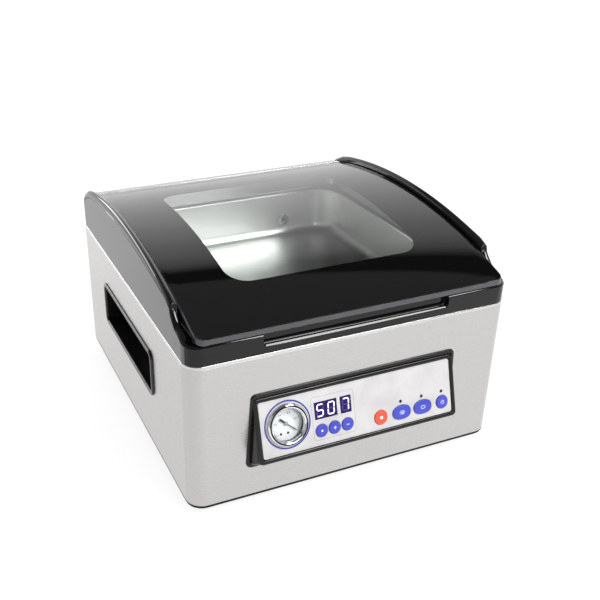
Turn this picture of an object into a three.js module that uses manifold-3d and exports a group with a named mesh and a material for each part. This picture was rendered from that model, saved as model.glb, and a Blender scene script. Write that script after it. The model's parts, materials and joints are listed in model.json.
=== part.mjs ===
// Chamber vacuum packing machine, in millimetres.
// +X right, +Y to the back, +Z up. The design is drawn in the casing's own frame: x = 0 and
// y = 0 at the casing's centre and z = 0 at its lower edge. The last lines move the origin to
// the middle of the whole machine's footprint, on the surface that it stands on.
import * as THREE from "three";
import { mergeVertices } from "three/addons/utils/BufferGeometryUtils.js";
import Module from "manifold-3d";

const wasm = await Module();
wasm.setup();

// ---------------------------------------------------------------- driving dimensions
const GAP = 0.3; // clearance between pieces that touch
const HALF_W = 180; // casing half width
const HALF_D = 192; // casing half depth
const SEAM_Z = 164; // top of the stainless casing
const BAND_Z = 184.5; // top of the front band of the top frame
const CORNER_R = 18; // vertical front corners
const SHEET = 1.2; // stainless sheet thickness
const TRAY_LIP = 2.6; // base tray thickness below the casing
const FOOT_H = 7.5;

const ARCH_Y = 22; // highest line of the lid's arch
const ARCH_TOP = 225; // top of the lid there
const LID_R = 680; // outer radius of the lid's arch
const LID_T = 6; // lid sheet thickness
const LID_HALF_W = 168.4;
const LID_BACK = 163.6;
const RAIL_RISE = 8.5; // rail crest above the lid's surface
const RAIL_INNER = 171.5; // inner face of the side walls

const SEAL_Z = 185; // top of the chamber's flange
const FLANGE_T = 1.5;
const MOUTH_HALF_W = 149;
const MOUTH_FRONT = -170;
const MOUTH_BACK = 149;
const CHAMBER_FLOOR = 128;
const CHAMBER_WALL = 1.5;
const CHAMBER_DRAFT = 6; // how much each wall leans in over the chamber's depth
const CHAMBER_R = 35; // corner radius of the mouth
const FLOOR_R = 10; // fillet between wall and floor

const HINGE_Y = 167; // lid hinge axis
const HINGE_Z = 208.2;
const KNUCKLE_R = 2.6;
const KNUCKLES = 9;
const HINGE_HALF_W = 148.5;

const PANEL_TILT = THREE.MathUtils.degToRad(17);
const PANEL_CENTRE = [0, -201.7, 82.75]; // middle of the control panel's face
const PANEL_HALF_W = 109.5;
const PANEL_HALF_H = 29.3;
const PANEL_T = 2;
const RIM = 1.5; // how far the bezel's rim stands above the panel's face

const BAR_Y = -148; // seal bar centre line
const BAR_Z = 166;
const BAR_LIFT_X = 95; // the two lift cylinders

const POCKET_Y = 12.4; // middle of the two hand recesses
const POCKET_Z = 95;
const POCKET_DEPTH = 28;

const PORT_X = 77; // suction port in the chamber's back wall
const PORT_Z = 148;

const FAN_X = 0;
const FAN_Z = 60;
const SOCKET_X = -130;
const SWITCH_X = -84;
const REAR_CONTROL_Z = 42;

const ARC = 8; // curve segments on small round shapes
const ROUND = 24; // sides of round pieces

// ---------------------------------------------------------------- materials
function paint(color, roughness, metalness, opacity = 1) {
  return new THREE.MeshStandardMaterial({
    color, roughness, metalness, opacity, transparent: opacity < 1,
  });
}
const stainless = paint(0xc9c7c4, 0.35, 1);
const tubSteel = paint(0xd2d2d0, 0.28, 1);
const chrome = paint(0xe6e6e8, 0.08, 1);
const aluminium = paint(0xc4c6c8, 0.4, 1);
const zinc = paint(0x9a9c9e, 0.45, 1);
const brass = paint(0xb89a55, 0.35, 1);
const blackGloss = paint(0x111112, 0.12, 0);
const blackMatte = paint(0x1a1a1b, 0.55, 0);
const rubber = paint(0x1c1c1c, 0.85, 0);
const silicone = paint(0xd9d6cf, 0.6, 0);
const clear = paint(0xdfe6ea, 0.04, 0, 0.35);
const panelSilver = paint(0xdddcdc, 0.4, 0.2);
const display = paint(0x15173a, 0.15, 0);
const dialWhite = paint(0xf2f2f2, 0.5, 0);
const needleBlack = paint(0x0a0a0a, 0.4, 0);
const blueButton = paint(0x3f46c8, 0.35, 0);
const redButton = paint(0xf04a3c, 0.35, 0);
const lampBlack = paint(0x0c0c0c, 0.2, 0);
const circuit = paint(0x1f6b3a, 0.5, 0);
const tape = paint(0x8a6a48, 0.6, 0);
const castMetal = paint(0x8f9296, 0.6, 0.8);
const hoseWhite = paint(0xe4e2dc, 0.5, 0);

// ---------------------------------------------------------------- geometry helpers
const ALONG_X = new THREE.Matrix4().makeBasis(
  new THREE.Vector3(0, 1, 0), new THREE.Vector3(0, 0, 1), new THREE.Vector3(1, 0, 0));
const ALONG_Y = new THREE.Matrix4().makeBasis(
  new THREE.Vector3(1, 0, 0), new THREE.Vector3(0, 0, 1), new THREE.Vector3(0, -1, 0));

// Extrudes a shape between two places on an axis. Along x the shape is drawn in (y, z),
// along y in (x, z) and along z in (x, y).
function extrude(shape, from, to, axis = "z", curveSegments = ARC) {
  const options = { depth: to - from, bevelEnabled: false, curveSegments };
  const geometry = new THREE.ExtrudeGeometry(shape, options);
  if (axis === "y") {
    geometry.translate(0, 0, -to).applyMatrix4(ALONG_Y);
  } else {
    geometry.translate(0, 0, from);
    if (axis === "x") geometry.applyMatrix4(ALONG_X);
  }
  return geometry;
}

function block(x0, x1, y0, y1, z0, z1) {
  const geometry = new THREE.BoxGeometry(x1 - x0, y1 - y0, z1 - z0);
  return geometry.translate((x0 + x1) / 2, (y0 + y1) / 2, (z0 + z1) / 2);
}

// A round bar along an axis; (a, b) is its centre on the other two axes, in their order.
function rod(axis, radius, from, to, a, b, sides = ROUND) {
  const geometry = new THREE.CylinderGeometry(radius, radius, to - from, sides);
  const middle = (from + to) / 2;
  if (axis === "x") return geometry.rotateZ(Math.PI / 2).translate(middle, a, b);
  if (axis === "y") return geometry.translate(a, middle, b);
  return geometry.rotateX(Math.PI / 2).translate(a, b, middle);
}

function turned(points, sides = ROUND) {
  const profile = points.map(([radius, height]) => new THREE.Vector2(radius, height));
  return new THREE.LatheGeometry(profile, sides).rotateX(Math.PI / 2);
}

function polygon(points) {
  return new THREE.Shape(points.map(([a, b]) => new THREE.Vector2(a, b)));
}

// A rectangle with its own radius on the low-y corners and on the high-y corners.
function roundedRect(x0, x1, y0, y1, lowRadius, highRadius = lowRadius) {
  const shape = new THREE.Shape();
  const quarter = Math.PI / 2;
  shape.moveTo(x0 + lowRadius, y0);
  shape.lineTo(x1 - lowRadius, y0);
  shape.absarc(x1 - lowRadius, y0 + lowRadius, lowRadius, -quarter, 0, false);
  shape.lineTo(x1, y1 - highRadius);
  if (highRadius > 0) shape.absarc(x1 - highRadius, y1 - highRadius, highRadius, 0, quarter, false);
  shape.lineTo(x0 + highRadius, y1);
  if (highRadius > 0) {
    shape.absarc(x0 + highRadius, y1 - highRadius, highRadius, quarter, 2 * quarter, false);
  }
  shape.lineTo(x0, y0 + lowRadius);
  shape.absarc(x0 + lowRadius, y0 + lowRadius, lowRadius, 2 * quarter, 3 * quarter, false);
  return shape;
}

function toSolid(geometry) {
  const bare = geometry.clone();
  bare.deleteAttribute("normal");
  bare.deleteAttribute("uv");
  const merged = mergeVertices(bare, 1e-4);
  const mesh = new wasm.Mesh({
    numProp: 3,
    vertProperties: new Float32Array(merged.attributes.position.array),
    triVerts: new Uint32Array(merged.index.array),
  });
  return new wasm.Manifold(mesh);
}

function toGeometry(solid) {
  const mesh = solid.getMesh();
  const geometry = new THREE.BufferGeometry();
  geometry.setAttribute("position", new THREE.BufferAttribute(mesh.vertProperties, 3));
  geometry.setIndex(new THREE.BufferAttribute(mesh.triVerts, 1));
  return geometry;
}

function join(first, ...others) {
  return toGeometry(others.reduce((solid, other) => solid.add(toSolid(other)), toSolid(first)));
}

function cut(body, ...tools) {
  return toGeometry(tools.reduce((solid, tool) => solid.subtract(toSolid(tool)), toSolid(body)));
}

function common(body, tool) {
  return toGeometry(toSolid(body).intersect(toSolid(tool)));
}

// ---------------------------------------------------------------- assembly helpers
const machine = new THREE.Group();

function add(name, geometry, material, parent = machine) {
  const mesh = new THREE.Mesh(geometry, material);
  mesh.name = name;
  parent.add(mesh);
  return mesh;
}

// The tilted control panel: x to the right, y up the panel and z out of its face.
const panel = new THREE.Group();
panel.position.set(...PANEL_CENTRE);
panel.rotation.x = Math.PI / 2 - PANEL_TILT;
panel.updateMatrix();
machine.add(panel);

function onPanel(geometry) {
  return geometry.applyMatrix4(panel.matrix);
}

// ---------------------------------------------------------------- arch outlines, in (y, z)
const ARCH_CENTRE_Z = ARCH_TOP - LID_R;

function archHeight(y, radius) {
  return ARCH_CENTRE_Z + Math.sqrt(radius ** 2 - (y - ARCH_Y) ** 2);
}

function archPoints(y0, y1, radius, steps) {
  const points = [];
  for (let i = 0; i <= steps; i += 1) {
    const y = y0 + ((y1 - y0) * i) / steps;
    points.push([y, archHeight(y, radius)]);
  }
  return points;
}

// Everything under the arch of the given radius, down to a level floor.
function underArch(y0, y1, floor, radius, steps = 24) {
  return polygon([[y0, floor], [y1, floor], ...archPoints(y1, y0, radius, steps)]);
}

// ---------------------------------------------------------------- base and casing
function baseTray() {
  const low = -TRAY_LIP;
  const outline = roundedRect(-HALF_W + 1, HALF_W - 1, -HALF_D + 1, HALF_D - 1, CORNER_R - 1, 0);
  const slots = [];
  for (let i = 0; i < 6; i += 1) {
    const y = -40 + i * 16;
    slots.push(block(-150, -100, y, y + 5, low - 1, 1));
  }
  return cut(extrude(outline, low, -GAP), ...slots);
}

function foot() {
  return turned([[0, 2.5], [4, 2.5], [4, 0], [9, 0], [10.5, 1.5], [11.5, FOOT_H], [0, FOOT_H]],
    16);
}

// The x limits of a piece between two distances from the middle, on one side of the machine.
function onSide(side, near, far) {
  return side > 0 ? [near, far] : [-far, -near];
}

function casing() {
  const top = SEAM_Z - GAP;
  const outer = roundedRect(-HALF_W, HALF_W, -HALF_D, HALF_D, CORNER_R, 0);
  const inside = roundedRect(-HALF_W + SHEET, HALF_W - SHEET, -HALF_D + SHEET, HALF_D + 20,
    CORNER_R - SHEET, 0);
  const wrap = cut(extrude(outer, 0, top), extrude(inside, -1, top + 1));
  const edge = HALF_W - SHEET / 2;
  const flanges = [-1, 1].map((side) => block(
    ...onSide(side, edge - 16, edge), HALF_D - 3.8, HALF_D - 3.8 + SHEET, 0, top));
  const panelHole = block(-111.5, 111.5, -HALF_D - 5, -HALF_D + 8, 43.5, 117.5);
  const pocketHoles = [-1, 1].map((side) => block(
    ...onSide(side, HALF_W - 12, HALF_W + 12), POCKET_Y - 93, POCKET_Y + 93,
    POCKET_Z - 25.5, POCKET_Z + 25.5));
  return cut(join(wrap, ...flanges), panelHole, ...pocketHoles);
}

function rearPanel() {
  const y0 = HALF_D - 2.3;
  const plate = block(-HALF_W + 1.6, HALF_W - 1.6, y0, y0 + SHEET, GAP, SEAM_Z - GAP);
  const holes = [
    block(SOCKET_X - 14, SOCKET_X + 14, y0 - 5, y0 + 5, REAR_CONTROL_Z - 10, REAR_CONTROL_Z + 10),
    block(SWITCH_X - 7, SWITCH_X + 7, y0 - 5, y0 + 5, REAR_CONTROL_Z - 11, REAR_CONTROL_Z + 11),
  ];
  for (let i = 0; i < 7; i += 1) {
    const z = FAN_Z - 33 + i * 11;
    const half = Math.sqrt(38 ** 2 - (z - FAN_Z) ** 2);
    holes.push(block(FAN_X - half, FAN_X + half, y0 - 5, y0 + 5, z - 2.5, z + 2.5));
  }
  return cut(plate, ...holes);
}

// ---------------------------------------------------------------- top frame
const SLOT_HALF_W = 103;
const SLOT_BACK = -184.5;
const SLOT_Z = 173;
const BAND_BACK = -177.5; // the front band is full height as far back as this
const LEDGE_Z = SEAL_Z - FLANGE_T - GAP; // ledge that carries the chamber's flange
const LEDGE_INNER = 160;
const CROSS_WALL_Y = 171;
const FRAME_BACK = 190.3;
const COVER_SEAT_Z = 199.5; // top of the rear cross wall, under the hinge cover
const LID_SWITCH_X = 140;

// Side view of the top frame: flat over the front band, a nose, then the rail's arch.
function topFrameOutline() {
  const crest = LID_R + RAIL_RISE;
  const nose = -138;
  const shape = new THREE.Shape();
  shape.moveTo(-HALF_D, SEAM_Z);
  shape.lineTo(FRAME_BACK, SEAM_Z);
  shape.lineTo(FRAME_BACK, archHeight(FRAME_BACK, crest) - 7);
  shape.quadraticCurveTo(FRAME_BACK, archHeight(FRAME_BACK, crest), FRAME_BACK - 7,
    archHeight(FRAME_BACK - 7, crest));
  for (const [y, z] of archPoints(FRAME_BACK - 7, nose, crest, 26).slice(1)) shape.lineTo(y, z);
  shape.bezierCurveTo(nose - 9, 211.5, nose - 9, 205, nose - 16, 198);
  shape.bezierCurveTo(nose - 22, 192, nose - 30, 190, -HALF_D + 12, BAND_Z);
  shape.lineTo(-HALF_D, BAND_Z);
  return shape;
}

function topFrame() {
  const plan = roundedRect(-HALF_W, HALF_W, -HALF_D, FRAME_BACK, CORNER_R, 0);
  const mass = common(
    extrude(plan, SEAM_Z, 250), extrude(topFrameOutline(), -200, 200, "x", 6));
  const back = CROSS_WALL_Y;
  const well = block(-RAIL_INNER, RAIL_INNER, BAND_BACK, back, LEDGE_Z, 260);
  const hollow = block(-LEDGE_INNER, LEDGE_INNER, -171.9, back, SEAM_Z - 5, 260);
  const frontDeck = block(-RAIL_INNER, RAIL_INNER, -HALF_D - 5, BAND_BACK + 5, BAND_Z, 260);
  const coverSeat = block(-RAIL_INNER, RAIL_INNER, back - 2, HALF_D + 5, COVER_SEAT_Z, 260);
  const fingerSlot = block(-SLOT_HALF_W, SLOT_HALF_W, -HALF_D - 5, SLOT_BACK, SLOT_Z, 200);
  const switchPocket = block(LID_SWITCH_X - 11, LID_SWITCH_X + 11, -188, -171, SEAM_Z - 1, 176.5);
  const plungerHole = rod("z", 1.9, 170, 200, LID_SWITCH_X, -183, 12);
  return cut(mass, well, hollow, frontDeck, coverSeat, fingerSlot, switchPocket, plungerHole);
}

function hingeCover() {
  const top = archPoints(HINGE_Y + 3.4, 187, LID_R, 5);
  const under = archPoints(187, HINGE_Y + 3.4, LID_R - SHEET, 5);
  const back = HALF_D - 0.2;
  const profile = polygon([
    ...top.reverse(), ...under.reverse(), [back - SHEET, 200.5], [back - SHEET, SEAM_Z + 3.3],
    [back, SEAM_Z + 3.3], [back, 201.5], [back - 1.2, 203.8]]);
  return extrude(profile, -RAIL_INNER + GAP, RAIL_INNER - GAP, "x");
}

// ---------------------------------------------------------------- hand recesses
// A plastic cup let into the casing's side, with a flange round its mouth.
function handRecess(side) {
  const face = HALF_W + GAP;
  const rim = roundedRect(POCKET_Y - 95, POCKET_Y + 95, POCKET_Z - 28, POCKET_Z + 28, 4);
  const hollow = roundedRect(POCKET_Y - 90, POCKET_Y + 90, POCKET_Z - 22.5, POCKET_Z + 22.5, 5);
  const flange = extrude(rim, ...onSide(side, face, face + 2.2), "x", 4);
  const body = block(...onSide(side, face - POCKET_DEPTH, face + 0.1),
    POCKET_Y - 92.5, POCKET_Y + 92.5, POCKET_Z - 25, POCKET_Z + 25);
  const floor = face - POCKET_DEPTH + 2;
  return cut(join(flange, body), extrude(hollow, ...onSide(side, floor, face + 10), "x", 4));
}

// ---------------------------------------------------------------- vacuum chamber
// Leans the walls in towards the chamber's middle line below the flange.
function drafted(geometry, depth) {
  const position = geometry.attributes.position;
  const middleY = (MOUTH_FRONT + MOUTH_BACK) / 2;
  for (let i = 0; i < position.count; i += 1) {
    const lean = (CHAMBER_DRAFT * Math.max(0, SEAL_Z - position.getZ(i))) / depth;
    const scaleX = 1 - lean / MOUTH_HALF_W;
    const scaleY = 1 - lean / ((MOUTH_BACK - MOUTH_FRONT) / 2);
    position.setX(i, position.getX(i) * scaleX);
    position.setY(i, middleY + (position.getY(i) - middleY) * scaleY);
  }
  return geometry;
}

// A tub that is round at the bottom: a bevelled block with its upper bevel cut away.
function tub(grow, floorZ, filletR) {
  const outline = roundedRect(-MOUTH_HALF_W - grow + filletR, MOUTH_HALF_W + grow - filletR,
    MOUTH_FRONT - grow + filletR, MOUTH_BACK + grow - filletR, CHAMBER_R + grow - filletR);
  const options = {
    depth: 80, curveSegments: 5, bevelEnabled: true, bevelThickness: filletR,
    bevelSize: filletR, bevelSegments: 3,
  };
  const geometry = new THREE.ExtrudeGeometry(outline, options).translate(0, 0, floorZ + filletR);
  const keep = block(-300, 300, -300, 300, floorZ - 5, SEAL_Z + 5);
  return drafted(common(geometry, keep), SEAL_Z - CHAMBER_FLOOR);
}

function vacuumChamber() {
  const outline = roundedRect(-RAIL_INNER + 4.5, RAIL_INNER - 4.5, BAND_BACK + 0.5, 166, 6);
  const flange = extrude(outline, SEAL_Z - FLANGE_T, SEAL_Z);
  const outer = common(tub(CHAMBER_WALL, CHAMBER_FLOOR - CHAMBER_WALL, FLOOR_R + CHAMBER_WALL),
    block(-300, 300, -300, 300, 0, SEAL_Z - FLANGE_T / 2));
  const port = rod("y", 5, 130, 160, PORT_X, PORT_Z, 16);
  return cut(join(flange, outer), tub(0, CHAMBER_FLOOR, FLOOR_R), port);
}

// ---------------------------------------------------------------- lid
const LID_FRAME_Z = SEAL_Z + 2.2;

function lidPanel() {
  const front = -HALF_D;
  const profile = polygon([
    ...archPoints(front, LID_BACK, LID_R - LID_T, 28),
    ...archPoints(LID_BACK, front + 2.5, LID_R, 28),
    [front + 0.7, archHeight(front, LID_R) - 1.2], [front, archHeight(front, LID_R) - 3]]);
  const plan = roundedRect(-LID_HALF_W, LID_HALF_W, front - 1, LID_BACK + 1, 9, 0);
  return common(extrude(profile, -LID_HALF_W - 1, LID_HALF_W + 1, "x"),
    extrude(plan, BAND_Z + 0.4, 250));
}

function lidFrame() {
  const outer = roundedRect(-165.8, 165.8, -176, 163.1, 6, 2);
  const inner = roundedRect(-151, 151, -172.4, 151, 12);
  const ring = cut(extrude(outer, LID_FRAME_Z, 240, "z", 4), extrude(inner, 150, 260, "z", 4));
  const below = extrude(underArch(-185, 170, 150, LID_R - LID_T - GAP, 26), -200, 200, "x");
  return common(ring, below);
}

function gasket() {
  const low = SEAL_Z + GAP;
  const high = LID_FRAME_Z - GAP;
  const outer = roundedRect(-160, 160, -175.6, 158, 8);
  const inner = roundedRect(-154.5, 154.5, -172.6, 152.5, 8);
  return cut(extrude(outer, low, high, "z", 4), extrude(inner, low - 1, high + 1, "z", 4));
}

function pressureBarHolder() {
  const channel = block(-138, 138, BAR_Y - 7, BAR_Y + 7, 188.4, 194.6);
  return cut(channel, block(-140, 140, BAR_Y - 4.3, BAR_Y + 4.3, 180, 191.3));
}

function siliconeBar() {
  return block(-135, 135, BAR_Y - 4, BAR_Y + 4, 186.8, 191);
}

// ---------------------------------------------------------------- lid hinge
// The knuckles of one leaf: every second one, bored for the pin.
function knuckles(first) {
  const pitch = (2 * HINGE_HALF_W) / KNUCKLES;
  const list = [];
  for (let i = first; i < KNUCKLES; i += 2) {
    const from = -HINGE_HALF_W + i * pitch + 0.25;
    const to = -HINGE_HALF_W + (i + 1) * pitch - 0.25;
    list.push({ from, to, tube: rod("x", KNUCKLE_R, from, to, HINGE_Y, HINGE_Z, 16) });
  }
  return list;
}

function hingeLeaf(first, plate, arm) {
  const parts = [plate];
  for (const { from, to, tube } of knuckles(first)) {
    parts.push(block(from, to, ...arm), tube);
  }
  const bore = rod("x", 1.35, -HINGE_HALF_W - 5, HINGE_HALF_W + 5, HINGE_Y, HINGE_Z, 12);
  return cut(join(...parts), bore);
}

function bodyLeaf() {
  const plate = block(-HINGE_HALF_W, HINGE_HALF_W, 169.3, 170.6, 188, 207);
  return hingeLeaf(0, cut(plate, ...knuckles(1).map(({ from, to }) => block(
    from - 0.5, to + 0.5, 160, 175, 205, 215))), [HINGE_Y + 0.3, 170.6, 205.5, 207]);
}

function lidLeaf() {
  const plate = block(-HINGE_HALF_W, HINGE_HALF_W, 163.4, 164.6, 190, 203);
  return hingeLeaf(1, plate, [164, HINGE_Y - 0.2, 201.5, 206.6]);
}

function hingePin() {
  return rod("x", 1.1, -HINGE_HALF_W - 1, HINGE_HALF_W + 1, HINGE_Y, HINGE_Z, 12);
}

// ---------------------------------------------------------------- seal bar
function liftCylinder(side) {
  const x = side * BAR_LIFT_X;
  const barrel = rod("z", 7, CHAMBER_FLOOR + 1, 160, x, BAR_Y, 20);
  return cut(barrel, rod("z", 4.2, 134, 165, x, BAR_Y, 16));
}

function guidePin(side) {
  return rod("z", 3.6, 141, BAR_Z - GAP, side * BAR_LIFT_X, BAR_Y, 16);
}

function sealBar() {
  const profile = polygon([[-6, 0], [6, 0], [6, 10], [4.5, 12], [-4.5, 12], [-6, 10]]);
  const bar = extrude(profile, -135, 135, "x");
  return bar.translate(0, BAR_Y, BAR_Z);
}

function heatingStrip() {
  return block(-132, 132, BAR_Y - 3.2, BAR_Y + 3.2, BAR_Z + 12 + GAP, BAR_Z + 13.2);
}

// ---------------------------------------------------------------- control panel
function bezel() {
  const face = -HALF_D - GAP;
  const half = PANEL_HALF_H + 3.7;
  const sin = Math.sin(PANEL_TILT);
  const cos = Math.cos(PANEL_TILT);
  const [, panelY, panelZ] = PANEL_CENTRE;
  const rimPoint = (v) => [panelY + v * sin - RIM * cos, panelZ + v * cos + RIM * sin];
  const wedge = polygon([[face + 0.2, 40], rimPoint(-half), rimPoint(half), [face + 0.2, 118]]);
  const outline = new THREE.Shape();
  outline.moveTo(-115, 35.5);
  outline.lineTo(115, 35.5);
  outline.quadraticCurveTo(121, 35.5, 120.7, 41);
  outline.lineTo(116.5, 116);
  outline.quadraticCurveTo(116.3, 121, 111, 121);
  outline.lineTo(-111, 121);
  outline.quadraticCurveTo(-116.3, 121, -116.5, 116);
  outline.lineTo(-120.7, 41);
  outline.quadraticCurveTo(-121, 35.5, -115, 35.5);
  const flange = extrude(outline, face - 1, face, "y", 4);
  const insert = block(-111, 111, face - 0.5, -184, 44, 117);
  const shell = join(extrude(wedge, -PANEL_HALF_W - 3.8, PANEL_HALF_W + 3.8, "x"), flange, insert);
  const w = PANEL_HALF_W + GAP;
  const h = PANEL_HALF_H + GAP;
  const recess = onPanel(block(-w, w, -h, h, -PANEL_T - GAP, 9));
  const through = onPanel(block(-w + 4, w - 4, -h + 3.5, h - 3.5, -80, 9));
  return cut(shell, recess, through);
}

const GAUGE = [-80.5, 1];
const GAUGE_CAN_R = 19;
const SMALL_BUTTONS = [-44.3, -29.7, -14.9];
const SMALL_BUTTON_V = -14;
const SMALL_BUTTON_R = 6.7;
const MAIN_BUTTON_V = -16.2;
const LAMP_V = -4.5;
const TWO_DIGITS = [-50.1, -25.3, -1.6, 16];
const ONE_DIGIT = [-21.1, -9.1, -1.6, 16];
const MAIN_BUTTONS = [
  { name: "stop_button", x: 23.8, halfW: 7.6, halfH: 7.6, material: redButton },
  { name: "vacuum_button", x: 48.6, halfW: 10.9, halfH: 7.6, material: blueButton },
  { name: "set_button", x: 74.1, halfW: 10.9, halfH: 7.6, material: blueButton },
  { name: "power_button", x: 98.1, halfW: 7.2, halfH: 7.2, material: blueButton },
];
const LAMPS = [48.4, 73.7, 98.2];

function oval(x, y, halfW, halfH, z0, z1, sides = 12) {
  const shape = new THREE.Shape();
  shape.absellipse(x, y, halfW, halfH, 0, 2 * Math.PI, false, 0);
  return extrude(shape, z0, z1, "z", sides);
}

function controlPanel() {
  const w = PANEL_HALF_W;
  const h = PANEL_HALF_H;
  const plate = extrude(roundedRect(-w, w, -h, h, 2.5), -PANEL_T, 0, "z", 3);
  const through = [-PANEL_T - 1, 1];
  const holes = [rod("z", GAUGE_CAN_R + 0.5, ...through, ...GAUGE)];
  for (const [x0, x1, y0, y1] of [TWO_DIGITS, ONE_DIGIT]) {
    holes.push(block(x0 - GAP, x1 + GAP, y0 - GAP, y1 + GAP, ...through));
  }
  for (const x of SMALL_BUTTONS) {
    holes.push(oval(x, SMALL_BUTTON_V, SMALL_BUTTON_R + 0.4, SMALL_BUTTON_R + 0.4, ...through));
  }
  for (const { x, halfW, halfH } of MAIN_BUTTONS) {
    holes.push(oval(x, MAIN_BUTTON_V, halfW + 0.4, halfH + 0.4, ...through));
  }
  for (const x of LAMPS) holes.push(rod("z", 1.8, ...through, x, LAMP_V, 12));
  return cut(plate, ...holes);
}

function gaugeHousing() {
  const can = turned([[0, -26], [GAUGE_CAN_R, -26], [GAUGE_CAN_R, 1], [18.2, 1], [18.2, -6],
    [0, -6]]);
  return join(can, rod("z", 4, -36, -25.9, 0, 0, 12));
}

function gaugeBezel() {
  return turned([[16.8, 1.6], [18, 1.3], [22.2, 0.3], [22.4, 2], [21, 3.8], [19, 4.3], [17.2, 3.2],
    [16.8, 1.6]], 32);
}

const NEEDLE_REST = THREE.MathUtils.degToRad(-40.6);

function gaugeNeedle() {
  const pointer = polygon([[-8.4, -0.9], [-3, -0.9], [-2.4, -0.45], [14.6, -0.2], [14.6, 0.2],
    [-2.4, 0.45], [-3, 0.9], [-8.4, 0.9]]);
  return join(extrude(pointer, -4, -3.4), rod("z", 1.9, -4.2, -2.9, 0, 0, 12));
}

function controlBoard() {
  const plate = block(-57, 104, -24, 24, -12.4, -10.8);
  const parts = [plate];
  for (const [x, y, w, h, t] of [[-40, -2, 8, 8, 4], [10, 4, 12, 8, 5], [60, 8, 9, 9, 3],
    [88, -4, 5, 12, 7]]) {
    parts.push(block(x - w, x + w, y - h, y + h, -12 - t, -12));
  }
  return join(...parts);
}

function buildPanel() {
  add("bezel", bezel(), blackGloss);
  add("control_panel", controlPanel(), panelSilver, panel);
  const gauge = new THREE.Group();
  gauge.position.set(...GAUGE, 0);
  panel.add(gauge);
  add("gauge_housing", gaugeHousing(), blackMatte, gauge);
  add("gauge_bezel", gaugeBezel(), chrome, gauge);
  add("gauge_dial", rod("z", 17.8, -5.7, -5, 0, 0), dialWhite, gauge);
  const needle = add("gauge_needle", gaugeNeedle(), needleBlack, gauge);
  needle.rotation.z = NEEDLE_REST;
  add("gauge_lens", rod("z", 17.8, -1.4, 0.4, 0, 0), clear, gauge);
  for (const [name, [x0, x1, y0, y1]] of [["two_digit_display", TWO_DIGITS],
    ["one_digit_display", ONE_DIGIT]]) {
    add(name, block(x0, x1, y0, y1, -8, -0.2), display, panel);
  }
  SMALL_BUTTONS.forEach((x, i) => {
    const cap = oval(x, SMALL_BUTTON_V, SMALL_BUTTON_R, SMALL_BUTTON_R, -4, 1);
    add(`time_button_${i + 1}`, cap, blueButton, panel);
  });
  for (const { name, x, halfW, halfH, material } of MAIN_BUTTONS) {
    add(name, oval(x, MAIN_BUTTON_V, halfW, halfH, -4, 1.2), material, panel);
  }
  LAMPS.forEach((x, i) => {
    add(`indicator_lamp_${i + 1}`, rod("z", 1.4, -5, 0.4, x, LAMP_V, 12), lampBlack, panel);
  });
  add("control_board", controlBoard(), circuit, panel);
}

// ---------------------------------------------------------------- machinery inside
function vacuumPump() {
  const parts = [
    block(20, 78, 20, 96, GAP, 6), block(26, 72, 30, 88, 5.9, 62), block(32, 66, 36, 82, 61.9, 84)];
  for (let i = 0; i < 5; i += 1) parts.push(block(23, 75, 34 + i * 11, 38 + i * 11, 12, 56));
  parts.push(rod("z", 5, 83.9, 94, 49, 59, 16));
  return join(...parts);
}

function pumpMotor() {
  const shell = rod("x", 31, -62, 22, 59, 40, ROUND);
  return join(shell, block(-52, 12, 36, 82, GAP, 16), rod("x", 12, -68, -61.9, 59, 40, 16),
    rod("x", 7, 21.9, 22.7, 59, 40, 12));
}

function transformer() {
  const core = block(-134, -78, -106, -38, 2, 62);
  const coil = block(-124, -88, -116, -28, 12, 52);
  return join(core, coil, block(-142, -70, -90, -54, GAP, 2.1));
}

// Two solenoid valves on one block: one to the pump, one that lets the air back in.
function valveBlock() {
  const coils = [72, 102].map((x) => rod("z", 11, 79.9, 110, x, 129, 16));
  return join(block(58, 116, 116, 142, 64, 80), block(80, 94, 124, 134, GAP, 64.1), ...coils,
    rod("y", 4, 112, 116.1, 100, 72, 12), rod("y", 4, 141.9, 146, 100, 72, 12));
}

// Flange against the chamber's back wall, a neck in its port and a tail for the hose.
function suctionFitting() {
  const body = join(rod("y", 9, 148, 152, PORT_X, PORT_Z, 16),
    rod("y", 4.4, 145.4, 148.1, PORT_X, PORT_Z, 16), rod("y", 5, 151.9, 163, PORT_X, PORT_Z, 12));
  return cut(body, rod("y", 2.8, 140, 170, PORT_X, PORT_Z, 12));
}

function hose(points, radius) {
  const path = new THREE.CatmullRomCurve3(points.map((p) => new THREE.Vector3(...p)));
  const section = new THREE.Shape();
  section.absarc(0, 0, radius, 0, 2 * Math.PI, false);
  return new THREE.ExtrudeGeometry(section, {
    steps: 14, curveSegments: 5, bevelEnabled: false, extrudePath: path,
  });
}

function fanFrame() {
  const y0 = HALF_D - 4.2 - 24;
  const y1 = HALF_D - 4.2;
  const body = block(FAN_X - 40, FAN_X + 40, y0, y1, FAN_Z - 40, FAN_Z + 40);
  const duct = rod("y", 37.5, y0 - 1, y1 - 3, FAN_X, FAN_Z, 28);
  const struts = [
    block(FAN_X - 39, FAN_X + 39, y1 - 3, y1, FAN_Z - 3, FAN_Z + 3),
    block(FAN_X - 3, FAN_X + 3, y1 - 3, y1, FAN_Z - 39, FAN_Z + 39),
    rod("y", 15, y1 - 3, y1, FAN_X, FAN_Z, 20)];
  const frontHole = rod("y", 37.5, y1 - 4, y1 + 1, FAN_X, FAN_Z, 28);
  return join(cut(body, duct, frontHole), ...struts);
}

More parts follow.
